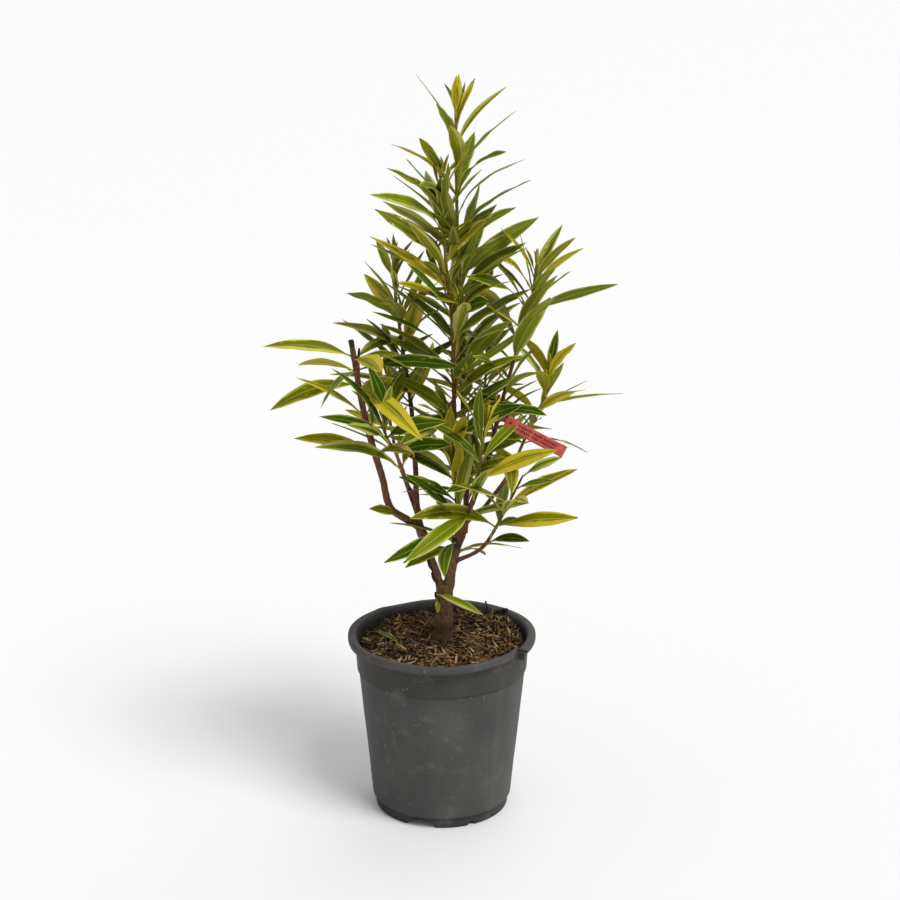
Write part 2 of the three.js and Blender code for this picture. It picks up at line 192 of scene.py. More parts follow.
def ringFaces(count, rows, around):
    # count tubes of rows rings with around points in each: corner (i, j) of tube c is (c·rows + i)·around +
    # j. quads join ring i to ring i + 1, and one many-sided face closes each end
    tube = np.arange(count)[:, None, None] * rows * around
    ring = tube + np.arange(rows - 1)[None, :, None] * around
    spoke = np.arange(around)[None, None, :]
    following = (spoke + 1) % around
    above = ring + around
    quads = np.stack([ring + spoke, ring + following, above + following, above + spoke], axis=-1)
    foot = tube[:, 0] + spoke[0, :, ::-1]
    head = tube[:, 0] + (rows - 1) * around + spoke[0]
    corners = np.concatenate([quads.ravel(), foot.ravel(), head.ravel()])
    sizes = np.concatenate([np.full(count * (rows - 1) * around, 4), np.full(2 * count, around)])
    return corners, sizes


def joinFaces(parts):
    # several (points, corners, sizes) joined end to end
    shifts = np.cumsum([0] + [len(points) for points, _, _ in parts[:-1]])
    points = np.concatenate([part[0] for part in parts])
    corners = np.concatenate([part[1] + shift for part, shift in zip(parts, shifts)])
    return points, corners, np.concatenate([part[2] for part in parts])


def addPiece(name, points, corners, sizes, paints, facePaint=None, replaces=(), slot=None, uv=None,
             sharp=None, values=None, smooth=True):
    # one mesh object from arrays. sharp marks the points along which the surface has a crease
    mesh = bpy.data.meshes.new(name)
    mesh.vertices.add(len(points))
    mesh.vertices.foreach_set("co", (points / metre).astype(np.float32).ravel())
    mesh.loops.add(len(corners))
    mesh.loops.foreach_set("vertex_index", corners.astype(np.int32))
    mesh.polygons.add(len(sizes))
    mesh.polygons.foreach_set("loop_start", (np.cumsum(sizes) - sizes).astype(np.int32))
    mesh.update(calc_edges=True)
    mesh.polygons.foreach_set("use_smooth", np.full(len(sizes), smooth))
    if facePaint is None:
        facePaint = np.zeros(len(sizes), int)
    used, slots = np.unique(facePaint, return_inverse=True)
    for index in used:
        mesh.materials.append(paints[index])
    mesh.polygons.foreach_set("material_index", slots.astype(np.int32).ravel())
    if uv is not None:
        mesh.uv_layers.new(name="UVMap").data.foreach_set("uv", uv[corners].astype(np.float32).ravel())
    if sharp is not None:
        ends = np.zeros(len(mesh.edges) * 2, np.int32)
        mesh.edges.foreach_get("vertices", ends)
        crease = sharp[ends].reshape(-1, 2).all(axis=1)
        mesh.edges.foreach_set("use_edge_sharp", crease)
    for key, value in (values or {}).items():
        attribute = mesh.attributes.new(key, "FLOAT", "POINT")
        attribute.data.foreach_set("value", value.astype(np.float32).ravel())
    piece = bpy.data.objects.new(name, mesh)
    bpy.context.collection.objects.link(piece)
    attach(piece, "root")
    if replaces:
        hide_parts(*replaces)
    return piece


# shapes

def unit(vectors):
    return vectors / np.linalg.norm(vectors, axis=-1, keepdims=True)


def dot(one, other):
    return (one * other).sum(axis=-1, keepdims=True)


def ramp01(values, low, high):
    # 0 below low, 1 above high, and a smooth step between them
    share = np.clip((values - low) / (high - low), 0, 1)
    return share * share * (3 - 2 * share)


def mix(pair, share):
    # from the pair's first value at 0 to its second at 1
    return pair[0] + share * (pair[1] - pair[0])


def waves(points, size, seed, octaves=3):
    # smooth unevenness from about -1 to 1: sine waves in random directions, each octave half as long and
    # half as high
    draw = np.random.default_rng(seed)
    total = np.zeros(points.shape[:-1])
    for octave in range(octaves):
        direction = unit(draw.normal(size=(5, points.shape[-1])))
        phase = draw.uniform(0, 2 * np.pi, 5)
        finer = 2 ** octave
        total += np.sin(points @ direction.T * (2 * np.pi * finer / size) + phase).sum(axis=-1) / finer
    return total / 4


def smoothRoute(route, spacing):
    # a cubic Hermite curve through the route's points: each point's slope comes from its neighbours,
    # place = (2u³ - 3u² + 1)·a + (u³ - 2u² + u)·w·slopeA + (3u² - 2u³)·b + (u³ - u²)·w·slopeB
    points = np.array(route, float)
    width = np.linalg.norm(np.diff(points, axis=0), axis=1)
    knots = np.concatenate([[0], np.cumsum(width)])
    slopes = np.gradient(points, knots, axis=0)
    count = max(3, int(knots[-1] / spacing) + 1)
    along = np.linspace(0, knots[-1], count)
    span = np.clip(np.searchsorted(knots, along, side="right") - 1, 0, len(width) - 1)
    w = width[span][:, None]
    u = (along - knots[span])[:, None] / w
    start = (2 * u**3 - 3 * u**2 + 1) * points[span] + (u**3 - 2 * u**2 + u) * w * slopes[span]
    return start + (3 * u**2 - 2 * u**3) * points[span + 1] + (u**3 - u**2) * w * slopes[span + 1]


def tubeRings(centre, radius, around):
    # ring points stand at centre + radius·(side·cos a + across·sin a), square to the path
    tangent = unit(np.gradient(centre, axis=0))
    side = unit(xAxis - tangent * dot(xAxis, tangent))
    across = np.cross(tangent, side)
    angle = np.linspace(0, 2 * np.pi, around, endpoint=False)
    spokes = side[:, None] * np.cos(angle)[None, :, None] + across[:, None] * np.sin(angle)[None, :, None]
    return centre[:, None] + spokes * np.broadcast_to(radius, spokes.shape[:2])[..., None]


def closeRings(rings, footEnd, headEnd):
    # extra rings that draw each end in: every (share, lift) gives the end ring shrunk to share and moved
    # out by lift
    def extra(ring, neighbour, steps):
        middle = ring.mean(axis=0)
        out = unit(middle - neighbour.mean(axis=0))
        return [middle + (ring - middle) * share + out * lift for share, lift in steps]
    foot = extra(rings[0], rings[1], footEnd)[::-1]
    head = extra(rings[-1], rings[-2], headEnd)
    shape = (-1, *rings.shape[1:])
    return np.concatenate([np.array(part).reshape(shape) for part in (foot, rings, head)])


def tubePart(centre, radius, around, footEnd, headEnd):
    rings = closeRings(tubeRings(centre, radius, around), footEnd, headEnd)
    return (rings.reshape(-1, 3), *ringFaces(1, len(rings), around))


# stems: the route of each one from its foot to the tip of its shoot, and its radius at both.
# ends: "shoot" grows on to a tip, "limb" carries others, "cut" is a pruned stub

stems = {
    "trunk": {
        "route": [(0.2, 0, 176), (0.8, 0, 186), (1.8, 0, 198), (3, 0, 222), (3.4, 0, 246), (3.6, 0, 250)],
        "radii": (10.6, 8.2), "end": "limb", "flare": 3.4,
    },
    "trunk_twig": {
        "route": [(-1, -3, 226), (-4, -8, 233), (-6, -11, 240), (-6.2, -11.6, 243)],
        "radii": (1.5, 1.1), "end": "cut",
    },
    "upper_spur": {
        "route": [(-8, -1, 266), (-11.6, -2, 270), (-13.6, -2.4, 276)],
        "radii": (2.2, 1.7), "end": "cut",
    },
    "lower_spur": {
        "route": [(-4, -2, 252), (-7.6, -3, 256), (-9.6, -3.6, 262)],
        "radii": (2.1, 1.5), "end": "cut",
    },
    "far_left_twig": {
        "route": [(-84, -20.6, 480), (-83.6, -22, 497), (-82.4, -22.4, 509)],
        "radii": (1.7, 1.2), "end": "cut",
    },
    "left_limb": {
        "route": [
            (2.5, 0, 226), (-0.8, 0, 244), (-6.2, 0, 264), (-13.3, 1, 282), (-24, 8, 313), (-25, 9, 319),
        ],
        "radii": (4.6, 3.8), "end": "limb",
    },
    "right_limb": {
        "route": [(4.4, 0, 226), (7.4, 0, 246), (11, -2, 270), (15.5, -4, 293), (16.3, -5, 303)],
        "radii": (5.7, 5.1), "end": "cut",
    },
    "leader_stem": {
        "route": [
            (10, -1, 268), (16, 2, 286), (23.7, 6, 306), (25.8, 12, 332), (24.7, 18, 368), (22.5, 22, 443),
            (21.4, 22, 507), (17.1, 18, 601), (14.5, 12, 748),
        ],
        "radii": (3.3, 1.3), "end": "shoot",
    },
    "centre_stem": {
        "route": [
            (13, -3, 279), (16.2, -6, 300), (17, -12, 330), (14.1, -15, 389), (12.7, -15, 481),
            (11, -14, 535), (5, -10, 594), (0, -6, 676),
        ],
        "radii": (3, 1.2), "end": "shoot",
    },
    "far_left_stem": {
        "route": [
            (-18, 5, 300), (-24, 7, 310), (-36, 5, 319), (-50, 0, 330), (-61.3, -10, 371),
            (-76.7, -20, 433), (-90.7, -20, 517),
        ],
        "radii": (4, 2.8), "end": "cut",
    },
    "inner_left_stem": {
        "route": [
            (-19, 5, 300), (-24, 9, 320), (-27.4, 18, 375), (-31.7, 26, 438), (-40.2, 32, 498),
            (-47.6, 36, 557), (-49.5, 38, 588),
        ],
        "radii": (3.3, 1.2), "end": "shoot",
    },
    "front_left_stem": {
        "route": [
            (-24.6, 10, 327), (-27, 6, 341), (-34, -10, 360), (-41, -29, 388), (-47, -40, 407),
            (-56, -50, 429), (-55, -55, 454),
        ],
        "radii": (2.4, 1.1), "end": "shoot",
    },
    "front_right_stem": {
        "route": [
            (15.6, -4, 290), (18, -8, 304), (25, -18, 327), (34, -32, 357), (38.4, -45, 389),
            (43, -52, 425), (46, -55, 447),
        ],
        "radii": (2.4, 1.1), "end": "shoot",
    },
    "right_stem": {
        "route": [
            (23.6, 6, 305), (27, 6, 322), (35, 5, 345), (47, 10, 375), (60, 14, 433), (73.6, 16, 484),
            (92.8, 20, 554), (97, 20, 587),
        ],
        "radii": (3, 1.2), "end": "shoot",
    },
    "low_right_stem": {
        "route": [
            (10, -2, 268), (17, -5, 277), (30, -8, 284), (40, -11, 291), (55.7, -20, 317), (66, -26, 340),
            (83, -40, 381),
        ],
        "radii": (2.4, 1), "end": "shoot",
    },
    "far_right_stem": {
        "route": [
            (24.5, 8, 313), (32, 14, 319), (43.5, 25, 324), (54.5, 35, 335), (73.2, 52, 357), (86, 63, 383),
            (101, 75, 415), (112.6, 80, 436), (114, 80, 464),
        ],
        "radii": (2.4, 1), "end": "shoot",
    },
    "back_left_stem": {
        "route": [
            (-17, 3, 295), (-22, 12, 310), (-35, 40, 340), (-48, 64, 372), (-56, 82, 410), (-58, 90, 457),
        ],
        "radii": (2.5, 1), "end": "shoot",
    },
    "back_right_stem": {
        "route": [
            (25.5, 10, 325), (26.5, 18, 337), (31, 44, 362), (38, 70, 392), (46, 86, 435), (48, 92, 487),
        ],
        "radii": (2.5, 1), "end": "shoot",
    },
}
barkRule = {
    "spacing": 1.6, "around": 22,
    "nodeStep": 17, "nodeRidge": 0.34, "nodeWidth": 1.5,  # the ring that each whorl of leaves leaves behind
    "footSwell": 0.4, "swellLength": 9,
    "grain": 0.05, "lump": 0.09,
}
cutEnd = [(0.97, 0.5), (0.86, 0.9), (0.55, 0.7), (0.12, 0.5)]
tipEnd = [(0.8, 0.5), (0.45, 0.9), (0.12, 1.1)]
hiddenEnd = [(0.6, 0.2), (0.1, 0.3)]


def barkRadius(rings, along, radii, flare, rough):
    # radius(s, a) = the even taper, plus a swelling at the foot, long ribs and lumps, and a three-lobed
    # ridge at every node: ridge·exp(-(distance to node / width)²)·(1 + cos 3(a - turn))
    length = along[-1]
    angle = np.linspace(0, 2 * np.pi, rings.shape[1], endpoint=False)[None]
    taper = (radii[0] + (radii[1] - radii[0]) * along / length)[:, None]
    swell = 1 + barkRule["footSwell"] * np.exp(-along / barkRule["swellLength"])[:, None]
    number = np.round(along / barkRule["nodeStep"])
    away = (along - number * barkRule["nodeStep"])[:, None]
    lobes = 0.55 + 0.45 * np.cos(3 * angle - np.pi * number[:, None])
    ridge = barkRule["nodeRidge"] * np.exp(-((away / barkRule["nodeWidth"]) ** 2)) * lobes
    grain = barkRule["grain"] * waves(rings * np.array([1, 1, 0.25]), 4, 5)
    lump = barkRule["lump"] * waves(rings, 16, 6, 2)
    return taper * (swell + rough * (grain + lump)) + ridge + flare * np.exp(-along / 9)[:, None]


def makeBarkPaint():
    # the newest bark is green, young bark red-brown and old bark grey-brown, as age runs from 0 to 0.9; 1
    # is dead wood. The bark darkens towards the foot of the trunk, just above the compost
    material, tree, shader = newPaint("barkPaint", (0, 0, 0, 1), 0.72, 0.3)
    age = addNode(tree, "ShaderNodeAttribute", {"attribute_name": "age"}).outputs["Fac"]
    color = addRamp(tree, age, [
        (0.0, tone(118, 112, 38)), (0.22, tone(114, 76, 42)), (0.5, tone(98, 61, 40)),
        (0.72, tone(110, 70, 44)), (0.9, tone(108, 83, 53)), (1.0, tone(46, 34, 27)),
    ])
    speck = objectNoise(tree, 520, (1, 1, 0.35))
    grain = addRamp(tree, speck, [(0.3, grey(0.42)), (0.52, grey(1)), (0.75, (1.5, 1.42, 1.3, 1))])
    # the bark darker towards the foot of the trunk, from about 260 mm down to the compost
    height = addMath(tree, "MULTIPLY", objectPlace(tree)["Z"], 2.0)
    trunkFootDarkening = addRamp(tree, height, [
        (0.37, (0.4, 0.39, 0.36, 1)), (0.43, (0.72, 0.71, 0.68, 1)), (0.52, grey(1))])
    for layer in (grain, trunkFootDarkening):
        color = mixColor(tree, "MULTIPLY", color, layer)
    tree.links.new(color, shader.inputs["Base Color"])
    addBump(tree, shader, objectNoise(tree, 700, (1, 1, 0.3), 6.0), 0.7, 0.5)
    return material


def routeLength(path):
    return np.concatenate([[0], np.cumsum(np.linalg.norm(np.diff(path, axis=0), axis=1))])


def makeStems():
    bark = makeBarkPaint()
    nodeNames = [node if isinstance(node, str) else node["name"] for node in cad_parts]
    for name, stem in stems.items():
        centre = smoothRoute(stem["route"], barkRule["spacing"])
        along = routeLength(centre)
        around = barkRule["around"] * (2 if name == "trunk" else 1)
        bare = tubeRings(centre, 1, around)
        rough = 1.0 if "limb" in name or name == "trunk" else 0.55
        radius = barkRadius(bare, along, stem["radii"], stem.get("flare", 0), rough)
        headEnd = {"shoot": tipEnd, "cut": cutEnd, "limb": hiddenEnd}[stem["end"]]
        rings = closeRings(tubeRings(centre, radius, around), hiddenEnd, headEnd)
        height = rings[..., 2]
        age = ramp01(height, 640, 250) * 0.9
        if stem["end"] == "shoot":
            toTip = height.max() - height
            age = np.minimum(age, ramp01(toTip, 0, 230) * 0.9)
        if stem["end"] == "cut":
            age = age + (1 - age) * ramp01(height, height.max() - 30, height.max() - 4)
        slot = "old_bark" if "stem" not in name else "stem_bark"
        addPiece(name + "_bark", rings.reshape(-1, 3), *ringFaces(1, len(rings), around), [bark],
                 replaces=[name] if name in nodeNames else [], slot=slot, values={"age": age})
    print("stems done")


# foliage. Whorls of three leaves stand from low to high on each shoot, every one turned by whorlTurn from the
# last, with leaves left out by chance. rise and reach run from the lowest whorl to the highest. scorched is the
# whorl and place of a leaf with a dead patch. own leaves are (height, heading, rise, reach, half width, roll,
# palette, golden side), where the side is 0 for none, 1 left, -1 right and 2 both

whorlTurn = 60
masses = {
    "leader_tip": {
        "stem": "leader_stem", "low": 704, "high": 728, "step": 12, "turn": 5, "rise": (44, 66),
        "reach": (86, 54),
        "own": [(736, -88, 74, 44, 4.5, 0, "young", 2), (738, 80, 66, 42, 4.5, 0, "young", 2)],
    },
    "leader_upper": {
        "stem": "leader_stem", "low": 640, "high": 680, "step": 20, "turn": 15, "rise": (30, 44),
        "reach": (100, 84),
    },
    "leader_middle": {
        "stem": "leader_stem", "low": 556, "high": 616, "step": 20, "turn": 75, "rise": (36, 42),
        "reach": (104, 92), "scorched": (1, 2),
        "own": [(572, -100, 60, 72, 6.5, 0, "lime", 2)],
    },
    "leader_lower": {
        "stem": "leader_stem", "low": 444, "high": 540, "step": 26, "turn": 30, "rise": (30, 38),
        "reach": (84, 90),
        "own": [(470, -29, 50, 84, 9, -60, "lime", 0)],
    },
    "leader_foot": {
        "stem": "leader_stem", "low": 346, "high": 424, "step": 19.5, "turn": 80, "rise": (16, 26),
        "reach": (72, 78),
        "own": [(352, -95, 72, 86, 8, -10, "lime", 2), (338, -20, 58, 72, 7, -40, "olive", 0)],
    },
    "centre_tip": {
        "stem": "centre_stem", "low": 620, "high": 660, "step": 20, "turn": 100, "rise": (28, 58),
        "reach": (98, 60),
    },
    "centre_upper": {
        "stem": "centre_stem", "low": 536, "high": 596, "step": 15, "turn": 60, "rise": (30, 40),
        "reach": (92, 94),
        "own": [(545, -145, 30, 76, 6.5, 30, "young", 2), (538, -128, 44, 98, 9, 48, "deep", 0)],
    },
    "centre_middle": {
        "stem": "centre_stem", "low": 436, "high": 516, "step": 20, "turn": 35, "rise": (28, 34),
        "reach": (84, 96),
    },
    "centre_foot": {
        "stem": "centre_stem", "low": 322, "high": 410, "step": 22, "turn": 10, "rise": (8, 28),
        "reach": (82, 88),
        "own": [
            (306, -140, -5, 96, 8.5, 38, "deep", 0), (396, -80, 50, 70, 8, 5, "young", 0),
            (372, -105, 78, 84, 9, 10, "young", 0), (333, -62, 68, 92, 8, -5, "fresh", 1),
            (346, -170, 26, 66, 7, 40, "deep", 0), (318, -118, 40, 60, 7, 25, "fresh", 0),
            (360, -160, 64, 80, 7, 20, "lime", 2), (344, -75, 80, 72, 7, 0, "young", 1),
            (322, -152, 46, 84, 8, 45, "deep", 0),
        ],
    },
    "inner_left_tip": {
        "stem": "inner_left_stem", "low": 526, "high": 574, "step": 20, "turn": 90, "rise": (30, 64),
        "reach": (76, 46),
        "own": [(524, -40, 48, 60, 6.5, 20, "young", 2), (530, 60, 40, 75, 5, 0, "olive", 0)],
    },
    "inner_left_middle": {
        "stem": "inner_left_stem", "low": 440, "high": 524, "step": 27, "turn": 70, "rise": (26, 36),
        "reach": (92, 92),
        "own": [
            (472, -140, 52, 82, 9, 45, "deep", 0), (446, -60, 50, 82, 9, 20, "olive", 1),
            (384, -110, 62, 76, 8, 10, "young", 0),
        ],
    },
    "far_left_top": {
        "stem": "far_left_stem", "low": 470, "high": 500, "step": 15, "turn": 60, "rise": (-12, 6),
        "reach": (96, 100),
        "own": [(499, -10, 8, 46, 5, 30, "olive", 0)],
    },
    "far_left_middle": {
        "stem": "far_left_stem", "low": 396, "high": 440, "step": 22, "turn": 60, "rise": (10, 24),
        "reach": (80, 84),
        "own": [(455, -50, 34, 62, 10, -40, "olive", 0), (322, -140, 24, 46, 6.5, 40, "olive", 0)],
    },
    "front_left": {
        "stem": "front_left_stem", "low": 384, "high": 428, "step": 22, "turn": 80, "rise": (14, 30),
        "reach": (90, 84),
        "own": [
            (428, -159, 53, 92, 6.5, 42, "deep", 0), (432, 180, 77, 72, 6.5, 70, "deep", 0),
            (436, -60, 72, 50, 5, 0, "fresh", 2), (436, -130, 68, 48, 5, 0, "deep", 1),
            (424, -27, 20, 72, 9.5, 52, "deep", 0), (424, -146, 24, 50, 7.5, 45, "fresh", 2),
            (414, -158, 27, 84, 6.5, 32, "deep", 0), (404, -37, 17, 74, 9, 48, "deep", 0),
        ],
    },
    "front_right": {
        "stem": "front_right_stem", "low": 376, "high": 438, "step": 23, "turn": 100, "rise": (20, 56),
        "reach": (86, 62),
        "own": [
            (414, -94, 62, 84, 5.5, 0, "deep", 0), (421, -60, 50, 46, 4, 10, "young", 0),
            (398, -130, 36, 70, 8, 20, "fresh", 0), (366, -120, 12, 60, 7, 20, "deep", 0),
            (352, -72, 46, 64, 8, 15, "fresh", 2), (331, -124, -9, 114, 9.5, 14, "lime", 0),
        ],
    },
    "right_tip": {
        "stem": "right_stem", "low": 540, "high": 573, "step": 11, "turn": 110, "rise": (24, 54),
        "reach": (92, 66),
    },
    "right_middle": {
        "stem": "right_stem", "low": 450, "high": 522, "step": 18, "turn": 60, "rise": (20, 34),
        "reach": (98, 88),
        "own": [(488, -32, 60, 82, 9.5, -55, "lime", 0), (506, -20, 62, 84, 8, -50, "olive", 0)],
    },
    "right_foot": {
        "stem": "right_stem", "low": 388, "high": 440, "step": 17, "turn": 50, "rise": (14, 24),
        "reach": (68, 74),
        "own": [(430, -40, 10, 62, 7.5, 30, "deep", 0), (404, -30, 12, 58, 9, 40, "fresh", 0)],
    },
    "far_right": {
        "stem": "far_right_stem", "low": 386, "high": 450, "step": 16, "turn": 80, "rise": (12, 54),
        "reach": (88, 60),
        "own": [(424, -2, 9, 92, 5.5, 10, "olive", 0)],
    },
    "low_right": {
        "stem": "low_right_stem", "low": 322, "high": 350, "step": 14, "turn": 90, "rise": (12, 30),
        "reach": (98, 80),
        "own": [
            (384, -22, 31, 48, 5.5, 40, "fresh", 2), (366, -55, 21, 66, 6.5, 30, "fresh", 0),
            (300, -30, 12, 50, 7, 25, "deep", 0), (306, -62, 34, 70, 7.5, 35, "fresh", 0),
        ],
    },
    "back_left": {
        "stem": "back_left_stem", "low": 378, "high": 448, "step": 20, "turn": 30, "rise": (10, 52),
        "reach": (84, 56),
    },
    "back_right": {
        "stem": "back_right_stem", "low": 398, "high": 478, "step": 22, "turn": 10, "rise": (10, 52),
        "reach": (84, 56),
    },
    "stub_leaves": {
        "stem": "right_limb", "low": 280, "high": 299, "step": 9.5, "turn": 50, "rise": (-14, 14),
        "reach": (66, 72),
        "own": [(299, -100, -12, 70, 7, 0, "fresh", 0)],
    },
    "trunk_leaves": {
        "stem": "trunk_twig", "low": 240, "high": 219, "step": 20, "turn": 58, "rise": (4, 4),
        "reach": (40, 44),
        "own": [(242, -43, -5, 67, 4.8, 28, "lime", -1), (238, -80, -52, 17, 2.6, 0, "olive", 0)],
    },
}
leafRule = {
    "rows": 34,
    "petiole": 6, "petioleHalf": 1.0, "petioleThick": 1.4,
    "thickness": 0.34, "ribHalf": 0.55, "ribDepth": 0.5, "channel": 0.22,
    "widest": (0.9, 1.0),  # powers of the outline at foot and tip
    "arch": (0.03, 0.11), "sway": 0.04, "roll": 24, "outward": 30, "twist": 22, "fold": (6, 22), "curl": 0.16,
    "ripple": 0.065, "ragged": 0.025, "scorch": [(15, 26), (16, 25), (18, 23)],  # rows, from the margin in
    "missing": 0.1, "headingSpread": 15, "riseSpread": 8, "reachSpread": 0.1, "dryTips": 0.3,
}
rosette = {"count": 6, "rise": (62, 86), "reach": (13, 34), "halfWidth": 0.085, "fold": 38}
sideTwig = {"chance": 0.13, "length": (12, 30), "rise": (35, 65), "reach": (36, 62), "radius": 0.9}

# display colours of each palette's parts
palettes = {
    "young": {
        "margin": (206, 186, 54), "wash": (176, 163, 24), "blade": (124, 128, 5), "rib": (178, 172, 58),
        "under": (162, 155, 28), "underMargin": (206, 187, 48),
    },
    "olive": {
        "margin": (204, 196, 92), "wash": (150, 149, 24), "blade": (108, 116, 4), "rib": (158, 160, 52),
        "under": (124, 128, 28), "underMargin": (186, 179, 82),
    },
    "fresh": {
        "margin": (190, 189, 98), "wash": (122, 137, 16), "blade": (90, 110, 2), "rib": (144, 157, 46),
        "under": (104, 116, 24), "underMargin": (174, 174, 86),
    },
    "lime": {
        "margin": (192, 191, 104), "wash": (140, 149, 28), "blade": (112, 127, 6), "rib": (156, 165, 54),
        "under": (122, 131, 34), "underMargin": (178, 177, 92),
    },
    "deep": {
        "margin": (178, 179, 86), "wash": (90, 110, 8), "blade": (57, 83, 1), "rib": (120, 139, 36),
        "under": (86, 101, 22), "underMargin": (158, 160, 74),
    },
}
dryTone = (70, 52, 30)
goldShares = {  # how often a leaf has no golden side, a left one, a right one, or both
    "young": (0.4, 0.22, 0.22, 0.16), "olive": (0.56, 0.19, 0.19, 0.06), "fresh": (0.74, 0.12, 0.12, 0.02),
    "lime": (0.7, 0.12, 0.12, 0.06),
    "deep": (0.86, 0.07, 0.07, 0),
}
leafParts = ["margin", "wash", "blade", "rib", "under", "underMargin"]
paletteNames = list(palettes)
topParts = ["margin", "wash", "blade", "blade", "rib", "rib", "blade", "blade", "wash", "margin"]
lowParts = ["underMargin", "under", "under", "rib", "rib", "under", "under", "underMargin"]


def makeLeafPaint(name, color, roughness):
    # a leathery sheen over fine side veins that slant from rib to margin: height = sin(a·along - b·|across|)
    material, tree, shader = newPaint(name, color, roughness, 0.09)
    uvMap = addNode(tree, "ShaderNodeUVMap").outputs["UV"]
    place = addNode(tree, "ShaderNodeSeparateXYZ", Vector=uvMap).outputs
    across = addMath(tree, "ABSOLUTE", addMath(tree, "SUBTRACT", place["X"], 0.5))
    slant = addMath(tree, "MULTIPLY", across, -14.0)
    phase = addMath(tree, "MULTIPLY_ADD", place["Y"], 170.0, slant)
    addBump(tree, shader, addMath(tree, "SINE", phase), 0.3, 0.12)
    return material


def makeLeafPaints():
    paints = []
    for palette, colors in palettes.items():
        for part in leafParts:
            rough = 0.65 if part.startswith("under") else 0.46
            paints.append(makeLeafPaint(palette + part.title(), tone(*colors[part]), rough))
    paints.append(makeLeafPaint("dryTip", tone(*dryTone), 0.8))
    return paints


def stemPoint(stem, height):
    # the stem's middle at a height; every stem rises all the way
    path = smoothRoute(stems[stem]["route"], barkRule["spacing"])
    return np.stack([np.interp(height, path[:, 2], path[:, axis]) for axis in range(3)], axis=-1)


def turnBetween(one, other):
    return abs((one - other + 540) % 360 - 180)


def dealPalette(share, draw):
    # young and olive leaves near a shoot's tip, deep and fresh ones lower down
    young, olive, fresh = 0.08 + 0.5 * share**2, 0.25 + 0.15 * share, 0.3 - 0.15 * share
    weights = np.array([young, olive, fresh, 0.2, 0.3 * (1.05 - share)])
    return paletteNames[draw.choice(len(paletteNames), p=weights / weights.sum())]


def leavesOf(mass, draw):
    # own leaves, then whorl k at low + k·step with its three leaves at turn + 60·k + 120·j, jittered,
    # leaving out by chance and where an own leaf is near
    low, high, step = mass["low"], mass["high"], mass["step"]
    own = mass.get("own", [])
    stemTop = stems[mass["stem"]]["route"][-1][2]
    leaves = [[*leaf, False] for leaf in own]
    count = int((high - low) / step + 1e-6) + 1
    for k in range(count):
        t = k / max(1, count - 1)
        for j in range(3):
            jitter = draw.uniform(-1, 1, 5)
            height = low + k * step + 2.5 * jitter[3]
            heading = mass["turn"] + k * whorlTurn + j * 120 + leafRule["headingSpread"] * jitter[0]
            rise = mix(mass["rise"], t) + leafRule["riseSpread"] * jitter[1]
            reach = mix(mass["reach"], t) * (1 + leafRule["reachSpread"] * jitter[2])
            halfWidth = np.clip(0.098 * reach, 3.5, 9) * (1 + 0.12 * jitter[4])
            middleY = stemPoint(mass["stem"], height)[1] + 0.4 * reach * math.sin(math.radians(heading))
            outward = np.clip(-middleY / 30, -1, 1)
            roll = leafRule["outward"] * outward + draw.normal(0, leafRule["roll"])
            share = ramp01(height, stemTop - 200, stemTop)
            palette = dealPalette(share, draw)
            gold = draw.choice([0, 1, -1, 2], p=goldShares[palette])
            scorched = mass.get("scorched") == (k, j)
            near = any(abs(leaf[0] - height) < 0.7 * step and turnBetween(leaf[1], heading) < 45
                       for leaf in own)
            if scorched or not near and draw.uniform() > leafRule["missing"]:
                side = 3 if scorched else gold
                leaves.append([height, heading, rise, reach, halfWidth, roll, palette, side, False])
    return leaves


def rosetteOf(stem, draw):
    # small upright leaves folded round the tip of a shoot
    top = stems[stem]["route"][-1][2]
    leaves = []
    for k in range(rosette["count"]):
        share = k / (rosette["count"] - 1)
        rise = mix(rosette["rise"], share) + draw.uniform(-5, 5)
        reach = mix(rosette["reach"][::-1], share) + draw.uniform(-3, 3)
        palette = "young" if draw.uniform() < 0.7 else "olive"
        heading = 137.5 * k + draw.uniform(-12, 12)
        halfWidth = rosette["halfWidth"] * reach + 0.6
        leaves.append([top - 9 + 8 * share, heading, rise, reach, halfWidth, 0, palette, k % 3 - 1, True])
    return leaves


def leafAxes(heading, rise):
    # along the leaf, up from its face, and across to its left
    h, r = np.radians(heading), np.radians(rise)
    flat = np.stack([np.cos(h), np.sin(h), np.zeros_like(h)], axis=-1)
    zAxis = np.array([0.0, 0.0, 1.0])
    along = flat * np.cos(r)[:, None] + zAxis * np.sin(r)[:, None]
    up = -flat * np.sin(r)[:, None] + zAxis * np.cos(r)[:, None]
    return along, up, np.cross(up, along)


def raggedEdge(draw, shape, slow, quick):
    # unevenness along a leaf: a slow wander of random sines plus a quick step from row to row
    t = np.linspace(0, 1, shape[1])[None]
    count = shape[0]
    each = (count, 1)
    wander = sum(np.sin(t * draw.uniform(4, 22, each) + draw.uniform(0, 6.3, each)) for _ in range(3)) / 3
    steps = draw.normal(size=shape)
    steps = (steps + np.roll(steps, 1, axis=1)) / 2
    return slow * wander + quick * steps


